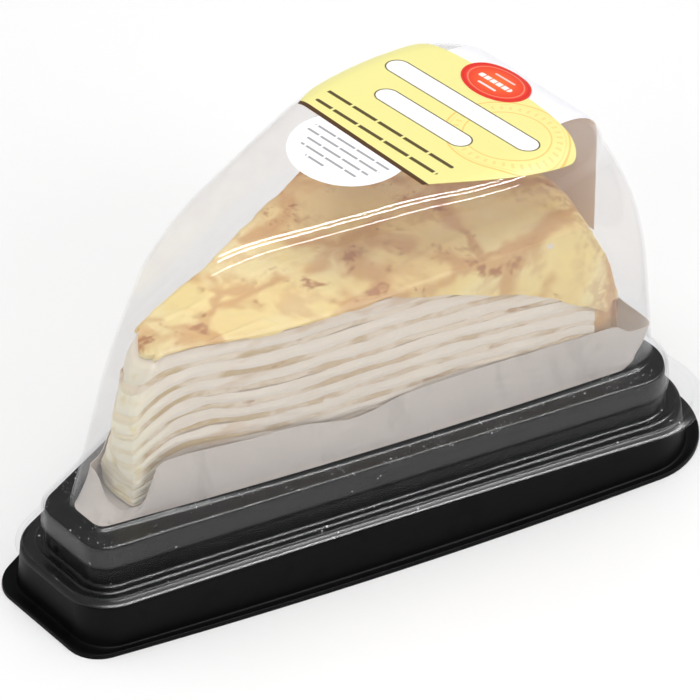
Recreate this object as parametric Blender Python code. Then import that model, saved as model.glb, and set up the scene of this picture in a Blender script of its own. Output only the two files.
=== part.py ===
"""Crepe cake slice in its lidded pack.

A wedge of layered crepe cake (crepes with cream between them) sits on a sheet of
liner paper on a black formed tray. A clear domed lid is snapped over the tray and
carries the labels. Everything is in metres, +Z up. +X points from the slice's tip
to its wide rim, the origin is the middle of the footprint on the table.
All the sizes below are in millimetres and are scaled at the end.
"""

import math

import bmesh
import bpy
import numpy as np
from mathutils import Vector
from mathutils.bvhtree import BVHTree

MM = 0.001

# ---------------------------------------------------------------- driving sizes
# plan outlines: tip x, tip half width, wide x, wide half width (both before the
# corners are rounded), tip radius, wide radius, bulge of the long sides
BRIM = (-66.75, 13.93, 66.75, 51.60, 6.6, 15.6, 2.4)
WALL_FOOT = (-63.70, 12.60, 61.50, 47.90, 6.4, 11.0, 2.2)
WALL_TOP = (-63.40, 12.90, 61.00, 48.20, 9.0, 11.5, 0.0)
PLINTH = (-58.80, 8.50, 57.00, 42.90, 5.3, 8.0, 0.0)
FLANGE = (-64.80, 13.20, 65.20, 52.70, 10.7, 13.9, -0.9)
SKIRT = (-60.00, 9.40, 58.30, 44.70, 5.9, 8.6, 0.0)

TRAY_SHEET = 0.6
TRAY_SHELF_Z = 9.6
PLINTH_Z = 18.9

LID_SHEET = 0.45
FLANGE_Z = 10.4
LEDGE_Z = 19.7

# dome: foot at the ledge, walls drawn in towards the top, round shoulder, and a
# crown that falls a little towards both ends
DOME_TOP_Z = 70.0
DOME_SHOULDER = 6.0
DOME_TIP_X = -56.5
DOME_WIDE_X = 58.4
DOME_WIDE_TOP_X = 57.35
DOME_HALF_WIDTH = 21.74          # at x = 0, on the foot
DOME_FLARE = 0.3026              # growth of the half width along x
DOME_DRAW_IN = 4.0               # long walls, foot to shoulder
DOME_TIP_LEAN = 0.30
DOME_TIP_CURL = 13.2
DOME_WIDE_SHOULDER = 7.4
DOME_CORNER = (8.5, 9.7)         # wide corners, foot and top
DOME_TIP_CORNER = (3.5, 2.2)
DOME_NARROWING = 0.35            # the crown's sides close in towards the rim
CROWN_FALL_WIDE = 4.5
CROWN_FALL_TIP = 4.4

# slice
WEDGE_HALF_ANGLE = math.radians(17.0)
APEX_X = -58.93
TIP_X = -46.5
RIM_R = 112.2
CAKE_BASE_Z = 19.9
CAKE_TOP_Z = 50.6
CREPES = 10
PITCH_UPPER = 3.5
PITCH_LOWER = 2.9
UPPER_PITCHES = 6
CREPE_T = 1.3                    # crepe with the gap under it
GAP = 0.34
RIM_ROUND = 12.0                 # how far in from the rim the layers start to fall
RIM_POWER = 3.0
RIM_BULGE = 2.2                  # the middle of the rim stands out this far beyond the arc
RIM_RISE = 0.08                  # the stack is this much taller at the wide end
LAYER_END = 6.0                  # inner layers end this far inside the rim

# liner paper
PAPER = 0.4
PAPER_FLOOR_Z = 19.2
PAPER_FOOT = (-54.8, 4.0, 56.8, 37.8, 2.6, 9.5, 1.3)

# stickers on the lid
STICKER = 0.25
STICKER_LIFT = 0.37


# ---------------------------------------------------------------- plan outlines
N_TIP, N_WIDE, N_LONG, N_END, N_NOSE = 3, 5, 8, 4, 1


def outline(tip_x, tip_hw, wide_x, wide_hw, r_tip, r_wide, bow=0.0, end_bow=0.0):
    """Rounded wedge outline, counter-clockwise from above, always the same count."""
    corner = [(tip_x, -tip_hw, r_tip, N_TIP), (wide_x, -wide_hw, r_wide, N_WIDE),
              (wide_x, wide_hw, r_wide, N_WIDE), (tip_x, tip_hw, r_tip, N_TIP)]
    sides = [N_LONG, N_END, N_LONG, N_NOSE]
    arcs = []
    for i in range(4):
        p = np.array(corner[i][:2])
        a = np.array(corner[i - 1][:2])
        b = np.array(corner[(i + 1) % 4][:2])
        r, n = corner[i][2:]
        u = (a - p) / np.linalg.norm(a - p)
        v = (b - p) / np.linalg.norm(b - p)
        half = math.acos(max(-1.0, min(1.0, float(u @ v)))) / 2
        mid = (u + v) / np.linalg.norm(u + v)
        centre = p + mid * r / math.sin(half)
        start = p + u * r / math.tan(half) - centre
        end = p + v * r / math.tan(half) - centre
        a0 = math.atan2(start[1], start[0])
        a1 = math.atan2(end[1], end[0])
        turn = (a1 - a0 + math.pi) % (2 * math.pi) - math.pi
        arcs.append([centre + r * np.array([math.cos(a0 + turn * k / n),
                                            math.sin(a0 + turn * k / n)]) for k in range(n + 1)])
    pts = []
    for i in range(4):
        pts.extend(arcs[i])
        a, b = arcs[i][-1], arcs[(i + 1) % 4][0]
        for k in range(1, sides[i]):
            pts.append(a + (b - a) * k / sides[i])
    pts = np.array(pts)
    u = np.clip((pts[:, 0] - tip_x) / (wide_x - tip_x), 0, 1)
    hw = tip_hw + (wide_hw - tip_hw) * u
    v = np.clip(pts[:, 1] / hw, -1, 1)
    y = pts[:, 1] * (1 + bow * 4 * u * (1 - u) / hw)
    x = pts[:, 0] + end_bow * (1 - v ** 2) * np.clip((u - 0.5) * 2, 0, 1)
    return np.column_stack([x, y])


def ring(out, z):
    return np.column_stack([out, np.full(len(out), z)])


def lerp(a, b, t):
    return a + (b - a) * t


# ---------------------------------------------------------------- the dome
def crown_fall(x):
    u = np.clip((x - 8.0) / 48.0, 0, 1.2)
    soft = 0.12
    wide = (np.sqrt(u * u + soft * soft) - soft) / (math.sqrt(1 + soft * soft) - soft)
    tip = np.clip((-16.2 - x) / 18.8, 0, 2) ** 2
    return CROWN_FALL_WIDE * wide + CROWN_FALL_TIP * tip


def dome_ring(k, lift=0.0):
    """k 0..1 climbs the wall, 1..2 goes over the shoulder to the crown's edge."""
    shoulder_z = DOME_TOP_Z - DOME_SHOULDER
    kk = min(k, 1.0)
    if k <= 1:
        z, over = LEDGE_Z + (shoulder_z - LEDGE_Z) * k, 0.0
    else:
        a = (k - 1) * math.pi / 2
        z, over = shoulder_z + DOME_SHOULDER * math.sin(a), 1 - math.cos(a)
    inset = DOME_DRAW_IN * kk + DOME_SHOULDER * over
    wide = DOME_WIDE_X + (DOME_WIDE_TOP_X - DOME_WIDE_X) * kk - DOME_WIDE_SHOULDER * over
    tip = DOME_TIP_X + DOME_TIP_LEAN * (min(z, shoulder_z) - LEDGE_Z) + DOME_SHOULDER * over
    tip += DOME_TIP_CURL * max(0.0, (z - 50.0) / (DOME_TOP_Z - 50.0)) ** 2
    hw0 = DOME_HALF_WIDTH - inset * 1.045
    rw = lerp(DOME_CORNER[0], DOME_CORNER[1], kk ** 8) - 0.5 * DOME_SHOULDER * over
    rt = max(0.8, lerp(DOME_TIP_CORNER[0], DOME_TIP_CORNER[1], kk) - 0.5 * DOME_SHOULDER * over)
    out = outline(tip, hw0 + DOME_FLARE * tip, wide, hw0 + DOME_FLARE * wide, rt, rw,
                  1.55 - 0.8 * kk)
    close = np.clip((out[:, 0] - 15.0) / (wide - 15.0), 0, 1) ** 1.5
    out[:, 1] *= 1 - DOME_NARROWING * close * kk ** 6
    top = LEDGE_Z + (z - LEDGE_Z) * (1 - crown_fall(out[:, 0]) / (DOME_TOP_Z - LEDGE_Z))
    return np.column_stack([out, top + lift])


def crown_rings(count):
    """Rings inside the crown's edge, drawn in to the crown's own centre line."""
    edge = dome_ring(2.0)
    rings = []
    for j in range(1, count + 1):
        t = j / (count + 0.35)
        x = edge[:, 0] + (12.0 - edge[:, 0]) * t * 0.92
        y = edge[:, 1] * (1 - t)
        z = DOME_TOP_Z - crown_fall(x)
        rings.append(np.column_stack([x, y, z]))
    return rings


# ---------------------------------------------------------------- mesh helpers
def material(name, colour, rough, metal=0.0, alpha=1.0):
    m = bpy.data.materials.new(name)
    m.use_nodes = True
    b = m.node_tree.nodes["Principled BSDF"]
    b.inputs["Base Color"].default_value = (*colour, 1.0)
    b.inputs["Roughness"].default_value = rough
    b.inputs["Metallic"].default_value = metal
    b.inputs["Alpha"].default_value = alpha
    return m


def add_object(name, verts, faces, mat, smooth=0.0):
    mesh = bpy.data.meshes.new(name)
    mesh.from_pydata([Vector(v) * MM for v in verts], [], faces)
    mesh.validate()
    bm = bmesh.new()
    bm.from_mesh(mesh)
    bmesh.ops.remove_doubles(bm, verts=bm.verts, dist=1e-7)
    bmesh.ops.recalc_face_normals(bm, faces=bm.faces)
    bm.to_mesh(mesh)
    bm.free()
    if smooth:
        mesh.shade_smooth()
        mesh.set_sharp_from_angle(angle=math.radians(smooth))
    mesh.materials.append(mat)
    obj = bpy.data.objects.new(name, mesh)
    bpy.context.scene.collection.objects.link(obj)
    obj.parent = ROOT
    return obj


def skin(rings, cap_last):
    """Open sheet through a list of rings, the last one closed by a face."""
    n = len(rings[0])
    verts = [tuple(p) for r in rings for p in r]
    faces = []
    for j in range(len(rings) - 1):
        for i in range(n):
            k = (i + 1) % n
            faces.append((j * n + i, j * n + k, (j + 1) * n + k, (j + 1) * n + i))
    if cap_last:
        base = (len(rings) - 1) * n
        centre = len(verts)
        verts.append(tuple(np.mean(rings[-1], axis=0)))
        for i in range(n):
            faces.append((base + i, base + (i + 1) % n, centre))
    return verts, faces


def sheet_below(rings, thickness):
    """The same rings moved to the other face of a sheet of even thickness."""
    r = np.array(rings)
    m, n = r.shape[:2]
    face = np.zeros((m - 1, n, 3))
    for j in range(m - 1):
        for i in range(n):
            k = (i + 1) % n
            d = np.cross(r[j + 1, k] - r[j, i], r[j + 1, i] - r[j, k])
            face[j, i] = d / max(np.linalg.norm(d), 1e-9)
    out = r.copy()
    for j in range(m):
        for i in range(n):
            near = [face[q, w] for q in (j - 1, j) if 0 <= q < m - 1 for w in (i - 1, i)]
            if j == m - 1:
                near += [np.array((0.0, 0.0, 1.0))] * 2
            mean = np.mean(near, axis=0)
            mean /= np.linalg.norm(mean)
            even = 1 / max(0.72, float(np.mean([f @ mean for f in near])))
            out[j, i] = r[j, i] - mean * thickness * even
    return out


def formed_sheet(name, rings, thickness, mat):
    """A thin formed sheet: the upper surface, thickened downwards."""
    up_v, up_f = skin(rings, True)
    low = sheet_below(rings, thickness)
    low[..., 2] = np.where(low[..., 2] < 0.06, 0.0, low[..., 2])
    lo_v, lo_f = skin(list(low), True)
    off = len(up_v)
    n = len(rings[0])
    faces = list(up_f) + [tuple(off + i for i in reversed(f)) for f in lo_f]
    for i in range(n):
        k = (i + 1) % n
        faces.append((i, off + i, off + k, k))
    return add_object(name, up_v + lo_v, faces, mat, smooth=35)


def block(stations_top, stations_low):
    """Closed solid between two grids of the same size, [station][lateral]."""
    a = np.array(stations_top)
    b = np.array(stations_low)
    ns, nv = a.shape[:2]
    verts = [tuple(p) for p in a.reshape(-1, 3)] + [tuple(p) for p in b.reshape(-1, 3)]
    off = ns * nv

    def t(i, j):
        return i * nv + j

    faces = []
    for i in range(ns - 1):
        for j in range(nv - 1):
            faces.append((t(i, j), t(i + 1, j), t(i + 1, j + 1), t(i, j + 1)))
            faces.append((off + t(i, j), off + t(i, j + 1), off + t(i + 1, j + 1), off + t(i + 1, j)))
    for i in range(ns - 1):
        faces.append((t(i, 0), off + t(i, 0), off + t(i + 1, 0), t(i + 1, 0)))
        faces.append((t(i, nv - 1), t(i + 1, nv - 1), off + t(i + 1, nv - 1), off + t(i, nv - 1)))
    for j in range(nv - 1):
        faces.append((t(0, j), t(0, j + 1), off + t(0, j + 1), off + t(0, j)))
        faces.append((t(ns - 1, j), off + t(ns - 1, j), off + t(ns - 1, j + 1), t(ns - 1, j + 1)))
    return verts, faces


# ---------------------------------------------------------------- the slice
def rim_fall(rho):
    """Height factor: 1 in the middle of the slice, 0 at the foot of the rim."""
    v = np.clip(1 - np.asarray(rho, float) / RIM_ROUND, 0, 1)
    return np.sqrt(np.clip(1 - v ** RIM_POWER, 0, 1))


def wave(x, z):
    """The layers dip and rise a little along the slice, and droop at the tip."""
    w = 1.1 * np.exp(-((x + 35) / 8.5) ** 2) - 0.6 * np.exp(-((x + 14) / 10) ** 2) \
        + 0.3 * np.exp(-((x - 12) / 9) ** 2)
    droop = 4.0 * np.clip((-38.0 - x) / 8.5, 0, 1.2) ** 1.6
    return (w - droop) * np.clip((z - CAKE_BASE_Z) / 9.0, 0, 1)


def tip_at(z):
    return TIP_X + 6.0 * np.clip((z - 41.5) / 9.0, 0, 1.1) ** 1.5


def side_draw(z):
    """The upper layers are a little narrower at the wide end."""
    return 1 - 0.058 * min(1.0, max(0.0, (z - 33.0) / 16.0)) ** 1.3


def rim_bulge(v):
    return RIM_BULGE * (1 - min(1.0, abs(v)) ** 2)


STATIONS = [0.0, 0.05, 0.12, 0.26, 0.46, 0.66, 0.82, 0.93, 1.0]
LATERAL = [-1.0, -0.5, 0.0, 0.5, 1.0]


def wedge_point(s, v, z, r_end):
    x0 = tip_at(z)
    pinch = 2.0 * min(1.0, max(0.0, (z - 39.0) / 11.0)) ** 1.3
    start = np.array([x0, v * ((x0 - APEX_X) * math.tan(WEDGE_HALF_ANGLE) - pinch)])
    th = WEDGE_HALF_ANGLE * v
    r = r_end + rim_bulge(v)
    end = np.array([APEX_X + r * math.cos(th), r * math.sin(th) * side_draw(z)])
    return lerp(start, end, s)


def boundary(z, x, y):
    """Height of the surface between two layers, z being its level mid-slice."""
    v = math.atan2(y, x - APEX_X) / WEDGE_HALF_ANGLE
    rho = RIM_R + rim_bulge(v) - math.hypot(x - APEX_X, y)
    u = min(1.0, max(0.0, (x - 5.0) / 38.0))
    rise = 1 + RIM_RISE * u * u * (3 - 2 * u)
    return CAKE_BASE_Z + (z - CAKE_BASE_Z) * rise * float(rim_fall(rho)) + float(wave(x, z))


def layer_face(z, side, r_end, stations=None):
    """Grid of one face; side -1 lies under the boundary, +1 over it, 0 on it."""
    rows = []
    for s in stations or STATIONS:
        row = []
        for v in LATERAL:
            x, y = wedge_point(s, v, z, r_end)
            h = 0.25
            slope = (boundary(z, x + h, y) - boundary(z, x - h, y)) / (2 * h)
            stretch = min(math.sqrt(1 + slope * slope), 1.65)
            row.append((x, y, boundary(z, x, y) + side * 0.5 * GAP * stretch))
        rows.append(row)
    return rows


def crepe_levels():
    """Upper boundary of each crepe, from the top of the slice to its base."""
    z = [CAKE_TOP_Z]
    for i in range(CREPES - 1):
        z.append(z[-1] - (PITCH_UPPER if i < UPPER_PITCHES else PITCH_LOWER))
    return z


def build_layers(mat_crepe, mat_cream, mat_top):
    tops = crepe_levels()
    end_r = RIM_R - LAYER_END
    for i in range(1, CREPES):
        last = i == CREPES - 1
        low = CAKE_BASE_Z if last else tops[i] - CREPE_T
        verts, faces = block(layer_face(tops[i], -1, end_r),
                             layer_face(low, 0 if last else 1, end_r))
        add_object("crepe_%02d" % (i + 1), verts, faces, mat_crepe)
    for i in range(CREPES - 1):
        upper = layer_face(tops[i] - CREPE_T, -1, end_r)
        if i == 0:
            # the drape bends sharply here, so the cream under it stays a little lower
            upper[-1] = [(x, y, z - 0.36) for x, y, z in upper[-1]]
            upper[-2] = [(x, y, z - 0.12) for x, y, z in upper[-2]]
        verts, faces = block(upper, layer_face(tops[i + 1], 1, end_r))
        add_object("cream_%02d" % (i + 1), verts, faces, mat_cream)

    # the top crepe drapes down over the rim to the base
    rho_in = LAYER_END - 1.15 * GAP
    flat = STATIONS[:-1]
    top = layer_face(CAKE_TOP_Z, 0, RIM_R - rho_in, flat)
    low = layer_face(CAKE_TOP_Z - CREPE_T, 1, RIM_R - rho_in, flat)

    def on_arc(rho, v, z):
        th = WEDGE_HALF_ANGLE * v
        r = RIM_R + rim_bulge(v) - rho
        return (APEX_X + r * math.cos(th), r * math.sin(th) * side_draw(z), z)

    def inner_z(v):
        return boundary(CAKE_TOP_Z - CREPE_T, *on_arc(rho_in, v, 0.0)[:2]) + 2.6 * GAP

    for rho, share in ((rho_in, 0.0), (3.6, 0.2), (2.0, 0.4), (0.9, 0.6), (0.3, 0.8), (0.0, 0.94), (0.0, 1.0)):
        a, b = [], []
        for v in LATERAL:
            x, y, _ = on_arc(rho, v, 0.0)
            if share == 1.0:
                z = CAKE_BASE_Z
            elif rho == 0.0:
                z = CAKE_BASE_Z + 2.2
            else:
                z = boundary(CAKE_TOP_Z, x, y)
            a.append((x, y * side_draw(lerp(CAKE_TOP_Z, CAKE_BASE_Z, share)), z))
            b.append(on_arc(rho_in, v, lerp(inner_z(v), CAKE_BASE_Z, share)))
        top.append(a)
        low.append(b)
    verts, faces = block(top, low)
    add_object("crepe_01_top", verts, faces, mat_top, smooth=40)


# ---------------------------------------------------------------- liner paper
def paper_edge(x, y):
    """Height of the paper's upper edge round the slice."""
    z = 28.7 - 2.5 * np.exp(-((x + 5) / 8.5) ** 2) + 1.2 * np.exp(-((x + 39) / 8) ** 2)
    tip = np.clip((-42.5 - x) / 4.0, 0, 1)
    z = z + (21.4 - z) * tip * tip * (3 - 2 * tip)
    end = np.clip((x - 47.5) / 4.0, 0, 1)
    return z + (25.0 - z) * end * end * (3 - 2 * end)


def build_liner(mat):
    hw = lambda x: (x - APEX_X) * math.tan(WEDGE_HALF_ANGLE)
    clear = 0.38
    edge_in = outline(TIP_X - clear - 0.1, hw(TIP_X) + clear, 48.6 + clear, hw(48.6) + clear + 0.1,
                      0.5, 0.7, 0.0, 7.0)
    edge_out = outline(TIP_X - clear - 0.1 - PAPER, hw(TIP_X) + clear + PAPER, 48.6 + clear + PAPER,
                       hw(48.6) + clear + 0.1 + PAPER, 0.8, 1.1, 0.0, 7.0)
    foot_out = outline(*PAPER_FOOT)
    f = PAPER_FOOT
    foot_in = outline(f[0] + PAPER, f[1] - PAPER * 0.8, f[2] - PAPER, f[3] - PAPER * 1.1, f[4], f[5], f[6])
    top_in = np.column_stack([edge_in, paper_edge(edge_in[:, 0], edge_in[:, 1])])
    top_out = np.column_stack([edge_out, top_in[:, 2]])
    rings = [ring(foot_out, PAPER_FLOOR_Z), top_out, top_in, ring(foot_in, PAPER_FLOOR_Z + PAPER)]
    n = len(foot_out)
    verts = [tuple(p) for r in rings for p in r]
    faces = []
    for j in range(3):
        for i in range(n):
            k = (i + 1) % n
            faces.append((j * n + i, j * n + k, (j + 1) * n + k, (j + 1) * n + i))
    for base, z in ((0, PAPER_FLOOR_Z), (3 * n, PAPER_FLOOR_Z + PAPER)):
        c = len(verts)
        verts.append((10.0, 0.0, z))
        for i in range(n):
            faces.append((base + i, base + (i + 1) % n, c))
    add_object("liner_paper", verts, faces, mat)


# ---------------------------------------------------------------- stickers
def surface_tree(parts):
    verts, faces = [], []
    for v, f in parts:
        off = len(verts)
        verts += [Vector(p) for p in v]
        faces += [tuple(off + i for i in face) for face in f]
    return BVHTree.FromPolygons(verts, faces)


def drop_on(tree, x, y):
    """The point of the surface under (x, y) and its outward normal."""
    hit, normal, _, _ = tree.ray_cast(Vector((x, y, 100.0)), Vector((0, 0, -1)))
    return hit, (normal if normal.z > 0 else -normal)


def push_on(tree, y, z):
    """The point of the wide wall at (y, z) and its outward normal."""
    hit, normal, _, _ = tree.ray_cast(Vector((90.0, y, z)), Vector((-1, 0, 0)))
    return hit, (normal if normal.x > 0 else -normal)


def sticker(name, tree, grid, mat, lift):
    """Thin sheet laid over the surface, raised wherever its facets come too close."""
    ns, nv = len(grid), len(grid[0])
    raised = [[lift] * nv for _ in range(ns)]
    for _ in range(8):
        pts = [[grid[i][j][0] + grid[i][j][1] * raised[i][j] for j in range(nv)] for i in range(ns)]
        for i in range(ns - 1):
            for j in range(nv - 1):
                worst = 0.0
                for a in (0.0, 0.25, 0.5, 0.75, 1.0):
                    for c in (0.0, 0.25, 0.5, 0.75, 1.0):
                        p0 = pts[i][j].lerp(pts[i + 1][j], a)
                        p1 = pts[i][j + 1].lerp(pts[i + 1][j + 1], a)
                        q = p0.lerp(p1, c)
                        loc, _, _, dist = tree.find_nearest(q)
                        out = grid[i][j][1] + grid[i + 1][j + 1][1]
                        signed = dist if (q - loc).dot(out) >= 0 else -dist
                        worst = max(worst, lift - signed)
                if worst > 0.005:
                    for di, dj in ((0, 0), (1, 0), (0, 1), (1, 1)):
                        raised[i + di][j + dj] += worst * 0.5
    low = [[tuple(grid[i][j][0] + grid[i][j][1] * raised[i][j]) for j in range(nv)] for i in range(ns)]
    top = [[tuple(grid[i][j][0] + grid[i][j][1] * (raised[i][j] + STICKER)) for j in range(nv)]
           for i in range(ns)]
    verts, faces = block(top, low)
    add_object(name, verts, faces, mat)
    return verts, faces


FAN_X = (12.4, 48.6)             # straight edge, far end of the round nose
FAN_Y = 1.2                      # the fan sits a little to the far side
FAN_HALF = (17.0, 25.3)          # half width at the straight edge and at its widest
FAN_NOSE = 41.0                  # where the round nose starts
STRIP_HALF = 15.2
STRIP_LOW_Z = 36.0
CARE_OVAL = (9.5, 1.0, 11.0, 11.6)
BADGE_OVAL = (47.0, 1.6, 5.7, 7.7)


def fan_half(x):
    u = min(1.0, (x - FAN_X[0]) / (FAN_NOSE - FAN_X[0]))
    side = lerp(FAN_HALF[0], FAN_HALF[1], 1 - (1 - u) ** 2)
    w = max(0.0, (x - FAN_NOSE) / (FAN_X[1] - FAN_NOSE))
    return side * math.sqrt(max(0.0, 1 - w ** 2.6))


def fan_reach(dy):
    """x of the fan's round nose at a distance dy from its middle."""
    w = max(0.0, 1 - (min(dy, FAN_HALF[1]) / FAN_HALF[1]) ** 2)
    return FAN_NOSE + (FAN_X[1] - FAN_NOSE) * w ** (1 / 2.6)


def build_stickers(mats):
    dome = skin([dome_ring(k) for k in DOME_STEPS] + crown_rings(3), True)
    tree = surface_tree([dome])

    # main label: a fan with a straight lower edge and a round nose
    grid = []
    for t in (0.0, 0.16, 0.32, 0.47, 0.62, 0.74, 0.84, 0.91, 0.96, 0.985):
        x = lerp(FAN_X[0], FAN_X[1], t)
        grid.append([drop_on(tree, x, FAN_Y + v * fan_half(x))
                     for v in (-1.0, -0.88, -0.7, -0.35, 0.0, 0.35, 0.7, 0.88, 1.0)])
    fan = sticker("label_fan", tree, grid, mats["label"], STICKER_LIFT)

    # seal strip: from the fan's nose over the wide edge and down the wide wall
    span = (-1.0, -0.66, -0.33, 0.0, 0.33, 0.66, 1.0)
    grid = []
    for t in (0.0, 0.33, 0.6, 0.8, 0.93, 1.0):
        row = []
        for v in span:
            y = v * STRIP_HALF
            x0 = fan_reach(abs(y - FAN_Y)) + 0.5
            row.append(drop_on(tree, lerp(x0, 56.2, t), y))
        grid.append(row)
    for z in (60.0, 57.0, 51.0, 43.5, STRIP_LOW_Z):
        grid.append([push_on(tree, v * STRIP_HALF, z) for v in span])
    strip = sticker("seal_strip", tree, grid, mats["strip"], STICKER_LIFT)

    # white oval sticker, cut off by the fan's straight edge
    cx, cy, ax, ay = CARE_OVAL
    grid = []
    for t in (0.0, 0.06, 0.18, 0.35, 0.55, 0.78, 1.0):
        x = lerp(cx - ax * 0.995, FAN_X[0] - 0.5, t)
        w = ay * math.sqrt(1 - ((x - cx) / ax) ** 2)
        grid.append([drop_on(tree, x, cy + v * w) for v in (-1.0, -0.5, 0.0, 0.5, 1.0)])
    sticker("care_sticker", tree, grid, mats["care"], STICKER_LIFT)

    # small oval badge on top of the fan's nose and the seal strip
    stack = surface_tree([dome, fan, strip])
    cx, cy, ax, ay = BADGE_OVAL
    grid = []
    for t in (-0.985, -0.85, -0.55, -0.2, 0.2, 0.55, 0.85, 0.985):
        w = ay * math.sqrt(1 - t * t)
        grid.append([drop_on(stack, cx + ax * t, cy + v * w) for v in (-1.0, -0.5, 0.0, 0.5, 1.0)])
    sticker("oval_badge", stack, grid, mats["badge"], STICKER_LIFT)


DOME_STEPS = [0.0, 0.2, 0.42, 0.62, 0.78, 0.9, 1.0, 1.25, 1.5, 1.75, 2.0]


# ---------------------------------------------------------------- tray and lid
def build_tray(mat):
    brim = outline(*BRIM)
    foot = outline(*WALL_FOOT)
    wall = outline(*WALL_TOP)
    plinth = outline(*PLINTH)
    top = outline(*[PLINTH[0] + 0.7, PLINTH[1] - 0.5, PLINTH[2] - 0.7, PLINTH[3] - 0.8, 5.0, 7.6, 0.0])
    t = TRAY_SHEET
    rings = [
        ring(brim, t),
        ring(foot, t),
        ring(lerp(foot, wall, 0.92), TRAY_SHELF_Z - 0.8),
        ring(lerp(wall, plinth, 0.10), TRAY_SHELF_Z),
        ring(lerp(wall, plinth, 0.93), TRAY_SHELF_Z),
        ring(lerp(plinth, top, 0.25), PLINTH_Z - 1.2),
        ring(lerp(plinth, top, 1.0), PLINTH_Z - 0.3),
        ring(lerp(plinth, top, 1.0) * 0.985, PLINTH_Z),
    ]
    formed_sheet("tray", rings, t, mat)


def build_lid(mat):
    flange = outline(*FLANGE)
    skirt = outline(*SKIRT)
    inner = outline(*[SKIRT[0] + 0.45, SKIRT[1] - 0.3, SKIRT[2] - 0.45, SKIRT[3] - 0.55, 5.6, 8.2, 0.0])
    foot = dome_ring(0.0)[:, :2]
    z = FLANGE_Z
    rings = [
        ring(flange, z),
        ring(lerp(flange, skirt, 0.14), z + 0.15),
        ring(lerp(flange, skirt, 0.26), z + 0.95),
        ring(lerp(flange, skirt, 0.38), z + 0.95),
        ring(lerp(flange, skirt, 0.50), z + 0.05),
        ring(lerp(flange, skirt, 0.97), z),
        ring(lerp(skirt, inner, 0.3), z + 0.9),
        ring(lerp(skirt, inner, 0.7), LEDGE_Z - 0.6),
        ring(lerp(inner, foot, 0.12), LEDGE_Z),
        ring(lerp(inner, foot, 0.93), LEDGE_Z),
    ]
    # the dome's foot starts a little above the ledge so that the corner stays open
    rings += [dome_ring(0.012)] + [dome_ring(k) for k in DOME_STEPS[1:]] + crown_rings(3)
    formed_sheet("lid", rings, LID_SHEET, mat)


# ---------------------------------------------------------------- build
for o in list(bpy.data.objects):
    bpy.data.objects.remove(o, do_unlink=True)

ROOT = bpy.data.objects.new("crepe_cake_pack", None)
bpy.context.scene.collection.objects.link(ROOT)

M = {
    "tray": material("black_tray", (0.012, 0.012, 0.013), 0.28),
    "lid": material("clear_lid", (0.92, 0.92, 0.93), 0.06, 0.0, 0.25),
    "paper": material("liner_paper", (0.66, 0.63, 0.60), 0.7),
    "crepe": material("crepe", (0.62, 0.49, 0.32), 0.6),
    "cream": material("cream", (0.80, 0.74, 0.62), 0.5),
    "top": material("top_crepe", (0.80, 0.58, 0.26), 0.5),
    "label": material("label_yellow", (0.93, 0.87, 0.36), 0.35),
    "strip": material("label_white", (0.90, 0.90, 0.89), 0.4),
    "care": material("sticker_white", (0.92, 0.92, 0.92), 0.4),
    "badge": material("badge_red", (0.75, 0.07, 0.03), 0.3),
}

build_tray(M["tray"])
build_lid(M["lid"])
build_liner(M["paper"])
build_layers(M["crepe"], M["cream"], M["top"])
build_stickers(M)
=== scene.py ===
"""Looks of the crepe cake slice in its lidded pack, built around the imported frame."""

import math

import bmesh
import bpy
import numpy as np
from mathutils import Matrix, Vector
from mathutils.bvhtree import BVHTree


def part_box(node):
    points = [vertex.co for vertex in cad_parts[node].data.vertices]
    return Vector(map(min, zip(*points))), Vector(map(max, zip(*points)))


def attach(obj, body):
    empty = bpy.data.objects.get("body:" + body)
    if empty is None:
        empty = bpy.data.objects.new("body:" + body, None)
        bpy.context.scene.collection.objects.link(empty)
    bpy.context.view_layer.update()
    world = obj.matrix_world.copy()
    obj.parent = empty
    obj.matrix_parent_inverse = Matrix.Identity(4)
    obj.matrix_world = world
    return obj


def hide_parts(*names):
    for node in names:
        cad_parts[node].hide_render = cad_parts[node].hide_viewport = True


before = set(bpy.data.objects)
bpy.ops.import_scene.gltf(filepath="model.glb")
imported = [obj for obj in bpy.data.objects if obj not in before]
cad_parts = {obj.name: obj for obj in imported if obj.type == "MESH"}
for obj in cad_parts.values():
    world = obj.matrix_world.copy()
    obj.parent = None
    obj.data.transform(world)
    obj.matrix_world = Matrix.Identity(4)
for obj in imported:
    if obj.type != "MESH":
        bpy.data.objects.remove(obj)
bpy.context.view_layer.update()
MM = 0.001

# ------------------------------------------------------------------ sizes (mm)
lid_lo, lid_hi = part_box("lid")
tray_lo, tray_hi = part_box("tray")
paper_lo, paper_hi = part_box("liner_paper")
DOME_TOP_Z = lid_hi.z / MM
PLINTH_Z = tray_hi.z / MM
PAPER_Z = paper_lo.z / MM

BRIM = (-66.75, 13.93, 66.75, 51.60, 6.6, 15.6, 2.4)
WALL_FOOT = (-63.90, 13.00, 62.10, 48.90, 7.6, 12.0, 1.6)
WALL_TOP = (-63.50, 12.90, 61.40, 48.40, 9.2, 12.2, 0.0)
PLINTH = (-59.30, 8.85, 57.55, 43.90, 5.5, 8.2, 0.0)
FLANGE = (-64.80, 13.20, 65.20, 52.70, 10.7, 13.9, -0.9)
SKIRT = (-60.00, 9.40, 58.30, 44.70, 5.9, 8.6, 0.0)

TRAY_SHELF_Z = 9.5
FLANGE_Z = 10.3
LEDGE_Z = 19.7

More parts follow.
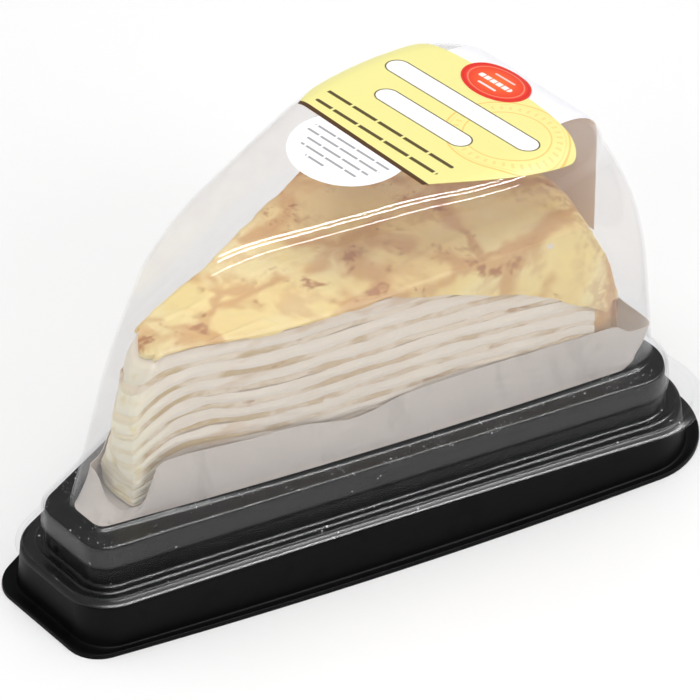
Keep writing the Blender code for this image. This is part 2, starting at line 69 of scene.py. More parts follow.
DOME_SHOULDER = 6.0
DOME_TIP_X = -56.5
DOME_WIDE_X = 58.4
DOME_WIDE_TOP_X = 57.35
DOME_HALF_WIDTH = 21.74
DOME_FLARE = 0.3026
DOME_DRAW_IN = 4.0
DOME_TIP_LEAN = 0.30
DOME_TIP_CURL = 13.2
DOME_WIDE_SHOULDER = 7.4
DOME_CORNER = (8.5, 9.7)
DOME_TIP_CORNER = (3.5, 2.2)
DOME_NARROWING = 0.35
CROWN_FALL_WIDE = 4.5
CROWN_FALL_TIP = 4.4

WEDGE_HALF_ANGLE = math.radians(17.0)
APEX_X = -58.93
TIP_X = -46.5
RIM_R = 112.2
CAKE_BASE_Z = 19.9
CAKE_TOP_Z = 50.6
CREPES = 10
PITCH_UPPER = 3.5
PITCH_LOWER = 2.9
UPPER_PITCHES = 6
CREPE_T = 1.15
RIM_ROUND = 12.0
RIM_POWER = 3.0
RIM_BULGE = 2.2
RIM_RISE = 0.08
LAYER_END = 6.0

# ------------------------------------------------------------------ noise
def _hash(ix, iy, iz, seed):
    h = (ix * 374761393 + iy * 668265263 + iz * 2147483647 + seed * 1274126177) & 0xFFFFFFFF
    h = ((h ^ (h >> 13)) * 1274126177) & 0xFFFFFFFF
    h = (h ^ (h >> 16)) & 0xFFFFFFFF
    return h.astype(np.float64) / 0xFFFFFFFF * 2 - 1


def noise(p, scale, seed=0, octaves=1):
    """Smooth value noise, -1..1, at the points p (n x 3, mm), features of about scale mm."""
    p = np.asarray(p, float).reshape(-1, 3)
    total = np.zeros(len(p))
    amp, norm = 1.0, 0.0
    for o in range(octaves):
        q = p / scale * (2 ** o) + 17.3 * (seed + o)
        i = np.floor(q).astype(np.int64)
        f = q - i
        w = f * f * f * (f * (f * 6 - 15) + 10)
        acc = np.zeros(len(p))
        for dx in (0, 1):
            for dy in (0, 1):
                for dz in (0, 1):
                    wt = (w[:, 0] if dx else 1 - w[:, 0]) * (w[:, 1] if dy else 1 - w[:, 1]) \
                        * (w[:, 2] if dz else 1 - w[:, 2])
                    acc += wt * _hash(i[:, 0] + dx, i[:, 1] + dy, i[:, 2] + dz, seed + 31 * o)
        total += amp * acc
        norm += amp
        amp *= 0.5
    return total / norm


def lerp(a, b, t):
    return a + (b - a) * t


def smooth01(t):
    t = np.clip(t, 0, 1)
    return t * t * (3 - 2 * t)


# ------------------------------------------------------------------ outlines
N_TIP, N_WIDE, N_LONG, N_END, N_NOSE = 12, 20, 90, 44, 8


def outline(tip_x, tip_hw, wide_x, wide_hw, r_tip, r_wide, bow=0.0, end_bow=0.0):
    corner = [(tip_x, -tip_hw, r_tip, N_TIP), (wide_x, -wide_hw, r_wide, N_WIDE),
              (wide_x, wide_hw, r_wide, N_WIDE), (tip_x, tip_hw, r_tip, N_TIP)]
    sides = [N_LONG, N_END, N_LONG, N_NOSE]
    arcs = []
    for i in range(4):
        p = np.array(corner[i][:2])
        a = np.array(corner[i - 1][:2])
        b = np.array(corner[(i + 1) % 4][:2])
        r, n = corner[i][2:]
        u = (a - p) / np.linalg.norm(a - p)
        v = (b - p) / np.linalg.norm(b - p)
        half = math.acos(max(-1.0, min(1.0, float(u @ v)))) / 2
        mid = (u + v) / np.linalg.norm(u + v)
        centre = p + mid * r / math.sin(half)
        start = p + u * r / math.tan(half) - centre
        end = p + v * r / math.tan(half) - centre
        a0 = math.atan2(start[1], start[0])
        a1 = math.atan2(end[1], end[0])
        turn = (a1 - a0 + math.pi) % (2 * math.pi) - math.pi
        arcs.append([centre + r * np.array([math.cos(a0 + turn * k / n),
                                            math.sin(a0 + turn * k / n)]) for k in range(n + 1)])
    pts = []
    for i in range(4):
        pts.extend(arcs[i])
        a, b = arcs[i][-1], arcs[(i + 1) % 4][0]
        for k in range(1, sides[i]):
            pts.append(a + (b - a) * k / sides[i])
    pts = np.array(pts)
    u = np.clip((pts[:, 0] - tip_x) / (wide_x - tip_x), 0, 1)
    hw = tip_hw + (wide_hw - tip_hw) * u
    v = np.clip(pts[:, 1] / hw, -1, 1)
    y = pts[:, 1] * (1 + bow * 4 * u * (1 - u) / hw)
    x = pts[:, 0] + end_bow * (1 - v ** 2) * np.clip((u - 0.5) * 2, 0, 1)
    return np.column_stack([x, y])


def ring(out, z):
    z = np.full(len(out), z) if np.isscalar(z) else z
    return np.column_stack([out, z])


def inset(params, d, dr=0.0):
    """The same wedge outline drawn in by d."""
    t, th, w, wh, rt, rw, bow = params
    slope = (wh - th) / (w - t)
    k = math.sqrt(1 + slope * slope)
    return (t + d, th - d * k + d * slope, w - d, wh - d * k - d * slope, max(0.4, rt - d + dr),
            max(0.4, rw - d + dr), bow)


def round_profile(rings, radii, steps=4):
    """Rounds the profile that runs through the rings, at each ring by its own radius."""
    r = [np.asarray(q, float) for q in rings]
    out = [r[0]]
    for j in range(1, len(r) - 1):
        rad = radii[j]
        if rad <= 0:
            out.append(r[j])
            continue
        da, db = r[j - 1] - r[j], r[j + 1] - r[j]
        la = np.maximum(np.linalg.norm(da, axis=1), 1e-6)
        lb = np.maximum(np.linalg.norm(db, axis=1), 1e-6)
        a = r[j] + da / la[:, None] * np.minimum(rad, 0.46 * la)[:, None]
        b = r[j] + db / lb[:, None] * np.minimum(rad, 0.46 * lb)[:, None]
        for s in range(steps + 1):
            t = s / steps
            out.append(a * (1 - t) ** 2 + r[j] * 2 * t * (1 - t) + b * t * t)
    out.append(r[-1])
    return out


# ------------------------------------------------------------------ meshes
def make(name, verts, faces, mats, smooth=40.0, slots=None):
    mesh = bpy.data.meshes.new(name)
    v = np.asarray(verts, float) * MM
    mesh.from_pydata(v.tolist(), [], faces)
    mesh.validate()
    bm = bmesh.new()
    bm.from_mesh(mesh)
    bmesh.ops.recalc_face_normals(bm, faces=bm.faces)
    bm.to_mesh(mesh)
    bm.free()
    mesh.shade_smooth()
    if smooth:
        mesh.set_sharp_from_angle(angle=math.radians(smooth))
    for m in mats:
        mesh.materials.append(m)
    if slots is not None:
        mesh.polygons.foreach_set("material_index", np.asarray(slots, np.int32))
    obj = bpy.data.objects.new(name, mesh)
    bpy.context.scene.collection.objects.link(obj)
    return obj


def skin(rings, cap_last=True):
    r = np.array(rings)
    m, n = r.shape[:2]
    verts = r.reshape(-1, 3)
    faces = []
    for j in range(m - 1):
        for i in range(n):
            k = (i + 1) % n
            faces.append((j * n + i, j * n + k, (j + 1) * n + k, (j + 1) * n + i))
    if cap_last:
        verts = np.vstack([verts, r[-1].mean(0)])
        c = len(verts) - 1
        for i in range(n):
            faces.append(((m - 1) * n + i, (m - 1) * n + (i + 1) % n, c))
    return verts, faces


def ring_normals(r):
    d1 = np.zeros_like(r)
    m = len(r)
    fn = np.cross(np.roll(r[1:], -1, axis=1) - r[:-1], r[1:] - np.roll(r[:-1], -1, axis=1))
    ln = np.linalg.norm(fn, axis=2, keepdims=True)
    fn = fn / np.maximum(ln, 1e-12)
    acc = np.zeros_like(r)
    cnt = np.zeros(r.shape[:2])
    for q in range(m - 1):
        for dj in (0, 1):
            for sh in (0, 1):
                acc[q + dj] += np.roll(fn[q], sh, axis=0)
    nrm = acc / np.maximum(np.linalg.norm(acc, axis=2, keepdims=True), 1e-9)
    dots = np.zeros(r.shape[:2])
    for q in range(m - 1):
        for dj in (0, 1):
            for sh in (0, 1):
                dots[q + dj] += (np.roll(fn[q], sh, axis=0) * nrm[q + dj]).sum(1)
                cnt[q + dj] += 1
    even = 1 / np.maximum(0.72, dots / cnt)
    return nrm, even


def shell(name, rings, thickness, mats, smooth=50.0, floor_z=None):
    r = np.array(rings)
    nrm, even = ring_normals(r)
    nrm[-1] = (0, 0, 1)
    low = r - nrm * (thickness * even)[..., None]
    if floor_z is not None:
        low[..., 2] = np.maximum(low[..., 2], floor_z)
    uv, uf = skin(r)
    lv, lf = skin(low)
    off = len(uv)
    n = r.shape[1]
    faces = list(uf) + [tuple(off + i for i in reversed(f)) for f in lf]
    for i in range(n):
        k = (i + 1) % n
        faces.append((i, off + i, off + k, k))
    return make(name, np.vstack([uv, lv]), faces, mats, smooth)


# ------------------------------------------------------------------ shader helper
class Mat:
    def __init__(self, name):
        self.m = bpy.data.materials.new(name)
        self.m.use_nodes = True
        self.t = self.m.node_tree
        self.t.nodes.clear()
        self.out = self.t.nodes.new("ShaderNodeOutputMaterial")
        self._obj = None

    def n(self, kind, ins=None, **props):
        nd = self.t.nodes.new(kind)
        for k, v in props.items():
            setattr(nd, k, v)
        for k, v in (ins or {}).items():
            self.put(nd, k, v)
        return nd

    def put(self, nd, k, v):
        sock = nd.inputs[k]
        if isinstance(v, bpy.types.NodeSocket):
            self.t.links.new(v, sock)
        elif isinstance(v, (tuple, list)) and len(v) == 3 and sock.type == 'RGBA':
            sock.default_value = (*v, 1.0)
        else:
            sock.default_value = v

    @property
    def obj(self):
        if self._obj is None:
            self._obj = self.n("ShaderNodeTexCoord").outputs["Object"]
        return self._obj

    def xyz(self, vec=None):
        s = self.n("ShaderNodeSeparateXYZ", {0: vec if vec is not None else self.obj})
        return s.outputs[0], s.outputs[1], s.outputs[2]

    def math(self, op, a, b=0.0, c=0.0, clamp=False):
        return self.n("ShaderNodeMath", {0: a, 1: b, 2: c}, operation=op, use_clamp=clamp).outputs[0]

    def add(self, a, b):
        return self.math('ADD', a, b)

    def mul(self, a, b):
        return self.math('MULTIPLY', a, b)

    def step(self, x, lo, hi):
        """0 below lo, 1 above hi, smooth between (lo may be over hi)."""
        return self.n("ShaderNodeMapRange", {0: x, 1: lo, 2: hi, 3: 0.0, 4: 1.0},
                      interpolation_type='SMOOTHSTEP').outputs[0]

    def noise(self, mm, detail=3.0, rough=0.5, distortion=0.0, vec=None, offset=None, stretch=None):
        v = vec if vec is not None else self.obj
        if offset is not None or stretch is not None:
            v = self.n("ShaderNodeMapping", {0: v, 1: offset or (0, 0, 0), 3: stretch or (1, 1, 1)}).outputs[0]
        nd = self.n("ShaderNodeTexNoise", {"Vector": v, "Scale": 1000.0 / mm, "Detail": detail,
                                           "Roughness": rough, "Distortion": distortion})
        return nd.outputs["Fac"]

    def noise_vec(self, mm, detail=2.0, vec=None):
        nd = self.n("ShaderNodeTexNoise", {"Vector": vec if vec is not None else self.obj,
                                           "Scale": 1000.0 / mm, "Detail": detail})
        return nd.outputs["Color"]

    def warp(self, vec, mm, amount):
        """vec moved about by noise of feature size mm, by up to amount mm."""
        c = self.n("ShaderNodeVectorMath", {0: self.noise_vec(mm, 2.0, vec), 1: (0.5, 0.5, 0.5)},
                   operation='SUBTRACT').outputs[0]
        c = self.n("ShaderNodeVectorMath", {0: c, 3: amount * MM * 2}, operation='SCALE').outputs[0]
        return self.n("ShaderNodeVectorMath", {0: vec, 1: c}, operation='ADD').outputs[0]

    def voronoi(self, mm, feature='F1', vec=None, smoothness=None, randomness=1.0, out="Distance"):
        nd = self.n("ShaderNodeTexVoronoi", feature=feature)
        self.put(nd, "Vector", vec if vec is not None else self.obj)
        self.put(nd, "Scale", 1000.0 / mm)
        self.put(nd, "Randomness", randomness)
        if smoothness is not None:
            self.put(nd, "Smoothness", smoothness)
        return nd.outputs[out]

    def ramp(self, fac, stops, interp='LINEAR'):
        nd = self.n("ShaderNodeValToRGB", {0: fac})
        cr = nd.color_ramp
        cr.interpolation = interp
        while len(cr.elements) < len(stops):
            cr.elements.new(0.5)
        for e, (p, c) in zip(cr.elements, stops):
            e.position = p
            e.color = (*c, 1.0) if len(c) == 3 else c
        return nd.outputs[0]

    def mix(self, fac, a, b, blend='MIX'):
        nd = self.n("ShaderNodeMix", data_type='RGBA', blend_type=blend)
        self.put(nd, 0, fac)
        self.put(nd, 6, a)
        self.put(nd, 7, b)
        return nd.outputs[2]

    def bump(self, height, strength=0.5, distance_mm=0.2, normal=None):
        ins = {"Height": height, "Strength": strength, "Distance": distance_mm * MM}
        if normal is not None:
            ins["Normal"] = normal
        return self.n("ShaderNodeBump", ins).outputs[0]

    def principled(self, **ins):
        names = {"color": "Base Color", "rough": "Roughness", "normal": "Normal", "ior": "IOR",
                 "spec": "Specular IOR Level", "sss": "Subsurface Weight", "sss_r": "Subsurface Radius",
                 "sss_s": "Subsurface Scale", "coat": "Coat Weight", "coat_r": "Coat Roughness",
                 "sheen": "Sheen Weight", "trans": "Transmission Weight", "alpha": "Alpha",
                 "metal": "Metallic", "emit": "Emission Color", "emit_s": "Emission Strength"}
        return self.n("ShaderNodeBsdfPrincipled", {names[k]: v for k, v in ins.items()}).outputs[0]

    def done(self, shader):
        self.t.links.new(shader, self.out.inputs[0])
        return self.m


def srgb(r, g, b):
    def f(c):
        c /= 255
        return c / 12.92 if c <= 0.04045 else ((c + 0.055) / 1.055) ** 2.4
    return (f(r), f(g), f(b))


# ------------------------------------------------------------------ materials
def mat_tray():
    g = Mat("tray_black")
    big = g.noise(9.0, 3.0, 0.55)
    smear = g.step(g.noise(6.0, 2.0, 0.5, 0.4, stretch=(1, 1, 1.6)), 0.56, 0.68)
    col = g.mix(big, srgb(6, 6, 7), srgb(9, 9, 10))
    col = g.mix(g.mul(smear, 0.8), col, srgb(3, 3, 3))
    rough = g.add(g.mul(big, 0.10), 0.40)
    fine = g.noise(0.5, 2.0, 0.6)
    n = g.bump(fine, 0.06, 0.05)
    return g.done(g.principled(color=col, rough=rough, spec=0.10, normal=n))


def mat_lid():
    """Clear film: frosted by cold on the dome, clear on the skirt, gloss at glancing angles."""
    g = Mat("lid_clear")
    x, y, z = g.xyz()
    dome = g.step(z, 0.0200, 0.0225)
    low = g.math('SUBTRACT', 1.0, dome)
    # frost on the dome, a little denser at the wide end
    cloud = g.noise(13.0, 3.0, 0.55)
    wide = g.step(x, 0.030, 0.056)
    frost = g.add(g.mul(cloud, 0.040), 0.032)
    frost = g.add(frost, g.mul(wide, 0.035))
    frost = g.mul(frost, dome)
    # fine dust and droplets, thicker low down; the white specks in a band along the ledge's outer edge are a painted
    # sparkle highlight, not dust
    cell = g.voronoi(1.7, 'F1')
    pick = g.step(g.noise(2.3, 0.0, 0.5), 0.66, 0.72)
    speck = g.mul(g.step(cell, 0.16, 0.10), pick)
    cell2 = g.voronoi(0.75, 'F1', vec=g.warp(g.obj, 2.0, 0.3))
    pick2 = g.step(g.noise(5.0, 2.0, 0.6, offset=(0.4, 0.2, 0.1)), 0.50, 0.60)
    sparkle_speck = g.mul(g.mul(g.step(cell2, 0.20, 0.12), pick2), 0.5)
    # painted highlight: white specks in a band at the ledge's outer edge stand for the sparkle of light there
    ledge_sparkle_band = g.mul(g.step(z, 0.0184, 0.0193), g.step(z, 0.0220, 0.0200))
    dust_and_sparkle = g.add(g.mul(speck, g.mul(low, 0.55)), g.mul(sparkle_speck, g.mul(ledge_sparkle_band, 0.8)))
    haze_dust_and_sparkle = g.math('MINIMUM', g.add(g.add(frost, 0.002), dust_and_sparkle), 0.9)
    diffuse = g.n("ShaderNodeBsdfDiffuse", {"Color": (0.93, 0.93, 0.945), "Roughness": 0.0}).outputs[0]
    clear = g.n("ShaderNodeBsdfTransparent", {"Color": (0.985, 0.986, 0.989)}).outputs[0]
    body = g.n("ShaderNodeMixShader", {0: haze_dust_and_sparkle, 1: clear, 2: diffuse}).outputs[0]
    wob = g.bump(g.noise(2.6, 2.0, 0.5), 0.014, 0.05)
    soft = g.add(g.mul(low, 0.17), 0.035)
    gloss = g.n("ShaderNodeBsdfGlossy", {"Color": (1, 1, 1), "Roughness": soft, "Normal": wob}).outputs[0]
    side = g.n("ShaderNodeLayerWeight", {"Blend": 0.5}).outputs["Facing"]
    fres = g.add(g.mul(g.math('POWER', side, 5.0), 0.42), 0.026)
    return g.done(g.n("ShaderNodeMixShader", {0: fres, 1: body, 2: gloss}).outputs[0])


def mat_top_crepe():
    g = Mat("crepe_skin")
    v = g.warp(g.obj, 9.0, 4.6)
    v = g.warp(v, 3.5, 0.7)
    flat = g.n("ShaderNodeMapping", {0: v, 1: (0.004, 0.002, 0), 3: (0.80, 1.0, 0.9)}).outputs[0]
    edge = g.voronoi(16.0, 'DISTANCE_TO_EDGE', vec=flat)
    tone = g.noise(8.0, 3.0, 0.55)
    width = g.add(g.mul(g.noise(9.0, 2.0), 0.26), 0.0)
    vein = g.step(g.math('DIVIDE', edge, width), 1.2, 0.2)
    vein = g.mul(vein, g.step(g.noise(9.0, 2.0, 0.5, offset=(0.3, 0.1, 0)), 0.32, 0.52))
    x, y, z = g.xyz()
    # warmer and browner towards the wide end and the far side
    far = g.step(g.add(g.mul(x, 0.5), y), -0.012, 0.030)
    col = g.mix(tone, srgb(253, 229, 152), srgb(246, 212, 138))
    pale = g.step(g.noise(15.0, 2.0, 0.5, offset=(0, 0.2, 0)), 0.46, 0.66)
    col = g.mix(g.mul(pale, 0.75), col, srgb(252, 234, 176))
    col = g.mix(g.mul(far, 0.38), col, srgb(222, 178, 124))
    blotch = g.step(g.noise(13.0, 4.0, 0.6, 0.3, offset=(0.9, 0.4, 0)), 0.53, 0.66)
    col = g.mix(g.mul(blotch, 0.55), col, srgb(218, 170, 108))
    col = g.mix(g.mul(vein, 0.85), col, srgb(216, 162, 94))
    dark = g.mul(g.step(g.noise(5.2, 3.0, 0.65, 0.3, offset=(0.5, 0.7, 0)), 0.55, 0.66), g.step(edge, 0.20, 0.04))
    col = g.mix(g.mul(dark, 0.9), col, srgb(178, 112, 44))
    # the hanging edge is mottled brown
    rim = g.step(x, 0.034, 0.047)
    mott = g.step(g.noise(2.6, 4.0, 0.65, offset=(0.1, 0.1, 0.8)), 0.44, 0.60)
    col = g.mix(g.mul(g.mul(rim, mott), 0.7), col, srgb(206, 156, 100))
    h = g.add(g.mul(vein, -0.6), g.mul(g.noise(2.2, 3.0), 0.5))
    n = g.bump(h, 0.4, 0.3)
    return g.done(g.principled(color=col, rough=0.48, spec=0.35, normal=n, sss=0.10,
                               sss_r=(1.0, 0.55, 0.25), sss_s=0.0025))


def mat_crepe():
    g = Mat("crepe_cut")
    a = g.noise(3.2, 3.0, 0.6, stretch=(0.35, 0.35, 1.6))
    b = g.noise(6.0, 3.0, 0.6, offset=(0.2, 0.5, 0.1), stretch=(0.6, 0.6, 1.3))
    col = g.mix(a, srgb(222, 198, 166), srgb(198, 170, 132))
    # cream smeared over the cut edge breaks the lines up
    col = g.mix(g.mul(g.step(b, 0.42, 0.56), 0.85), col, srgb(238, 222, 202))
    x, y, z = g.xyz()
    tip = g.step(x, -0.010, -0.036)
    olive = g.mul(tip, g.step(b, 0.60, 0.40))
    col = g.mix(g.mul(olive, 0.6), col, srgb(196, 168, 108))
    dash = g.step(g.noise(2.4, 2.0, 0.6, stretch=(0.4, 0.4, 1.0), offset=(0.1, 0.9, 0.3)), 0.62, 0.72)
    col = g.mix(g.mul(dash, 0.7), col, srgb(172, 128, 84))
    face = g.step(x, -0.0435, -0.0455)
    col = g.mix(g.mul(face, 0.8), col, srgb(246, 232, 200))
    n = g.bump(g.noise(1.0, 3.0), 0.5, 0.25)
    return g.done(g.principled(color=col, rough=0.6, spec=0.25, normal=n, sss=0.1,
                               sss_r=(1.0, 0.6, 0.35), sss_s=0.002))


def mat_cream():
    g = Mat("cream_soft")
    a = g.noise(5.0, 3.0, 0.55)
    col = g.mix(a, srgb(246, 235, 221), srgb(236, 220, 200))
    x, y, z = g.xyz()
    # tan patches where crumbs of crepe are dragged over the cream
    drag = g.step(g.noise(7.0, 3.0, 0.6, stretch=(0.35, 0.35, 1.5), offset=(0.7, 0.1, 0.2)), 0.56, 0.70)
    col = g.mix(g.mul(drag, 0.7), col, srgb(214, 182, 148))
    tip = g.step(x, -0.038, -0.0455)
    spot = g.step(g.noise(5.0, 2.0, 0.5, offset=(0.3, 0.3, 0.9)), 0.58, 0.66)
    tone = g.mix(g.mul(spot, 0.5), srgb(248, 238, 212), srgb(232, 206, 130))
    col = g.mix(tip, col, tone)
    n = g.bump(g.noise(1.6, 3.0), 0.45, 0.3)
    return g.done(g.principled(color=col, rough=0.5, spec=0.3, normal=n, sss=0.18,
                               sss_r=(1.0, 0.8, 0.6), sss_s=0.003))


def mat_paper():
    g = Mat("paper_liner")
    a = g.noise(12.0, 3.0, 0.5)
    x, y, z = g.xyz()
    col = g.mix(a, srgb(226, 217, 210), srgb(208, 198, 191))
    # painted light: the paper is made lighter towards its upper edge, where more light falls on it
    up = g.step(z, 0.0200, 0.0285)
    col = g.mix(g.mul(up, 0.5), col, srgb(232, 222, 212))
    # painted shade: darker patches along the vertical folds stand for the shade lying in them
    fold = g.step(g.noise(5.5, 3.0, 0.6, stretch=(1, 1, 0.25)), 0.56, 0.66)
    col = g.mix(g.mul(fold, 0.30), col, srgb(186, 177, 171))
    crease = g.noise(6.0, 4.0, 0.6, stretch=(1, 1, 0.35))
    n = g.bump(crease, 0.30, 0.8)
    n = g.bump(g.noise(0.35, 2.0), 0.12, 0.04, n)
    paper = g.principled(color=col, rough=0.62, spec=0.25, normal=n)
    through = g.n("ShaderNodeBsdfTranslucent", {"Color": (0.75, 0.71, 0.67)}).outputs[0]
    return g.done(g.n("ShaderNodeMixShader", {0: 0.22, 1: paper, 2: through}).outputs[0])


def bar(g, u, v, cu, cv, hu, hv, soft=0.05):
    """Mask of a rounded bar in mm: centre (cu, cv), half sizes (hu, hv), ends round."""
    r = min(hu, hv)
    du = g.math('MAXIMUM', g.add(g.math('ABSOLUTE', g.add(u, -cu)), -(hu - r)), 0.0)
    dv = g.math('MAXIMUM', g.add(g.math('ABSOLUTE', g.add(v, -cv)), -(hv - r)), 0.0)
    d = g.math('SQRT', g.add(g.mul(du, du), g.mul(dv, dv)))
    return g.step(d, r + soft, r - soft), d


def mat_fan():
    g = Mat("label_fan_print")
    x, y, z = g.xyz()
    u = g.mul(x, 1000.0)
    v = g.mul(y, 1000.0)
    # the print is turned a little on the label
    ur = g.add(u, g.mul(v, 0.035))
    col = g.mix(g.noise(30.0, 1.0), srgb(244, 237, 158), srgb(241, 233, 150))
    # two thin rings
    du, dv = g.add(u, -36.0), g.add(v, 13.0)
    rad = g.math('SQRT', g.add(g.mul(du, du), g.mul(dv, dv)))
    for r, w, s in ((11.6, 0.16, 0.75), (8.2, 0.13, 0.7), (10.9, 0.07, 0.35)):
        m = g.step(g.math('ABSOLUTE', g.add(rad, -r)), w + 0.07, w - 0.05)
        col = g.mix(g.mul(m, s), col, srgb(246, 196, 104))
    ray = g.n("ShaderNodeMath", {0: dv, 1: du}, operation='ARCTAN2').outputs[0]
    beat = g.step(g.math('SINE', g.mul(ray, 36.0)), 0.35, 0.6)
    band = g.step(g.math('ABSOLUTE', g.add(rad, -9.7)), 0.62, 0.52)
    col = g.mix(g.mul(g.mul(beat, band), 0.42), col, srgb(247, 203, 116))
    # white bars with a dark outline, and plain thin bars
    for cu, cv, hu, hv in ((36.4, -0.3, 2.3, 19.0), (27.6, 0.6, 2.2, 11.6)):
        inner, d = bar(g, ur, v, cu, cv, hu, hv)
        r = min(hu, hv)
        outer = g.step(d, r + 0.34, r + 0.22)
        col = g.mix(outer, col, srgb(96, 76, 48))
        col = g.mix(inner, col, srgb(255, 255, 255))
    for cu, cv, hu, hv in ((19.9, 1.4, 0.42, 16.6), (16.2, 0.9, 0.42, 15.9)):
        m, _ = bar(g, ur, v, cu, cv, hu, hv)
        gap = g.step(g.math('ABSOLUTE', g.math('SINE', g.add(g.mul(v, 0.47), cu))), 0.10, 0.16)
        col = g.mix(g.mul(m, gap), col, srgb(92, 78, 46))
    strip = g.step(g.add(u, g.mul(v, -0.003)), 13.42, 13.32)
    col = g.mix(strip, col, srgb(84, 58, 34))
    return g.done(g.principled(color=col, rough=0.32, spec=0.3))


def mat_care():
    g = Mat("sticker_white_print")
    x, y, z = g.xyz()
    u = g.mul(x, 1000.0)
    v = g.mul(y, 1000.0)
    ur = g.add(u, g.mul(v, 0.035))
    col = g.mix(g.noise(30.0, 1.0), srgb(253, 253, 254), srgb(250, 250, 252))
    for i, (cv, hv) in enumerate(((1.0, 9.6), (1.2, 9.4), (0.6, 8.0), (0.9, 7.2), (2.4, 2.4))):
        m, _ = bar(g, ur, v, 10.5 - 1.95 * i, cv, 0.26, hv)
        gap = g.step(g.math('ABSOLUTE', g.math('SINE', g.add(g.mul(v, 0.62), i * 1.7))), 0.10, 0.2)
        col = g.mix(g.mul(g.mul(m, gap), 0.72), col, srgb(104, 104, 110))
    return g.done(g.principled(color=col, rough=0.38, spec=0.3))


def mat_strip():
    """White outside; its gummed inner face is beige, darkened with painted shade and given a faint painted glow, as
    seen through the clear wall.
    """
    g = Mat("seal_white")
    col = g.mix(g.noise(20.0, 2.0), srgb(248, 248, 251), srgb(244, 244, 248))
    return g.done(g.principled(color=col, rough=0.4, spec=0.3))


def mat_strip_back():
    g = Mat("seal_gum_painted_shade_glow")
    a = g.noise(9.0, 3.0, 0.5)
    # painted shade: the beige stands for the white strip's gummed back lying in shade
    col = g.mix(a, srgb(230, 213, 199), srgb(222, 203, 188))
    # painted glow: the faint emission lifts the shaded back, though it is no lamp
    return g.done(g.principled(color=col, rough=0.6, spec=0.2, emit=(0.62, 0.51, 0.43), emit_s=0.22))


def mat_badge():
    g = Mat("badge_red_print")
    x, y, z = g.xyz()
    du = g.mul(g.add(g.mul(x, 1000.0), -BADGE[0]), 1 / BADGE[2])
    dv = g.mul(g.add(g.mul(y, 1000.0), -BADGE[1]), 1 / BADGE[3])
    rad = g.math('SQRT', g.add(g.mul(du, du), g.mul(dv, dv)))
    col = g.ramp(rad, [(0.0, srgb(250, 120, 56)), (0.45, srgb(246, 96, 52)), (0.85, srgb(238, 64, 48)),
                       (0.93, srgb(222, 44, 40)), (1.0, srgb(236, 70, 52))])
    ringm = g.step(g.math('ABSOLUTE', g.add(rad, -0.80)), 0.030, 0.018)
    col = g.mix(g.mul(ringm, 0.35), col, srgb(255, 190, 150))
    u = g.mul(x, 1000.0)
    v = g.mul(y, 1000.0)
    ur = g.add(u, g.mul(v, 0.035))
    for cu, cv, hu, hv, s in ((BADGE[0] - 0.1, BADGE[1], 0.62, 4.2, 0.92), (BADGE[0] - 2.3, BADGE[1], 0.28, 2.3, 0.8),
                              (BADGE[0] + 2.2, BADGE[1] - 0.3, 0.24, 2.6, 0.6)):
        m, _ = bar(g, ur, v, cu, cv, hu, hv)
        gap = g.step(g.math('ABSOLUTE', g.math('SINE', g.add(g.mul(v, 2.1), cu))), 0.16, 0.36) if hu > 0.5 else 1.0
        col = g.mix(g.mul(g.mul(m, gap), s), col, srgb(255, 250, 246))
    return g.done(g.principled(color=col, rough=0.25, spec=0.35))


def mat_floor():
    g = Mat("floor_pale")
    return g.done(g.principled(color=(0.93, 0.93, 0.93), rough=0.9, spec=0.0))


# ------------------------------------------------------------------ the dome
def crown_fall(x):
    u = np.clip((x - 8.0) / 48.0, 0, 1.2)
    soft = 0.12
    wide = (np.sqrt(u * u + soft * soft) - soft) / (math.sqrt(1 + soft * soft) - soft)
    tip = np.clip((-16.2 - x) / 18.8, 0, 2) ** 2
    return CROWN_FALL_WIDE * wide + CROWN_FALL_TIP * tip


def dome_ring(k):
    shoulder_z = DOME_TOP_Z - DOME_SHOULDER
    kk = min(k, 1.0)
    if k <= 1:
        z, over = LEDGE_Z + (shoulder_z - LEDGE_Z) * k, 0.0
    else:
        a = (k - 1) * math.pi / 2
        z, over = shoulder_z + DOME_SHOULDER * math.sin(a), 1 - math.cos(a)
    draw = DOME_DRAW_IN * kk + DOME_SHOULDER * over
    wide = DOME_WIDE_X + (DOME_WIDE_TOP_X - DOME_WIDE_X) * kk - DOME_WIDE_SHOULDER * over
    tip = DOME_TIP_X + DOME_TIP_LEAN * (min(z, shoulder_z) - LEDGE_Z) + DOME_SHOULDER * over
    tip += DOME_TIP_CURL * max(0.0, (z - 50.0) / (DOME_TOP_Z - 50.0)) ** 2
    hw0 = DOME_HALF_WIDTH - draw * 1.045
    rw = lerp(DOME_CORNER[0], DOME_CORNER[1], kk ** 8) - 0.5 * DOME_SHOULDER * over
    rt = max(0.8, lerp(DOME_TIP_CORNER[0], DOME_TIP_CORNER[1], kk) - 0.5 * DOME_SHOULDER * over)
    out = outline(tip, hw0 + DOME_FLARE * tip, wide, hw0 + DOME_FLARE * wide, rt, rw, 1.55 - 0.8 * kk)
    close = np.clip((out[:, 0] - 15.0) / (wide - 15.0), 0, 1) ** 1.5
    out[:, 1] *= 1 - DOME_NARROWING * close * kk ** 6
    top = LEDGE_Z + (z - LEDGE_Z) * (1 - crown_fall(out[:, 0]) / (DOME_TOP_Z - LEDGE_Z))
    return np.column_stack([out, top])


def crown_rings(count):
    edge = dome_ring(2.0)
    rings = []
    for j in range(1, count + 1):
        t = j / (count + 0.6)
        x = edge[:, 0] + (12.0 - edge[:, 0]) * t * 0.92
        y = edge[:, 1] * (1 - t)
        rings.append(np.column_stack([x, y, DOME_TOP_Z - crown_fall(x)]))
    return rings


def dome_rings():
    ks = [0.012] + [lerp(0.012, 1.0, i / 26) for i in range(1, 27)] + [1 + i / 16 for i in range(1, 17)]
    return [dome_ring(k) for k in ks] + crown_rings(22)


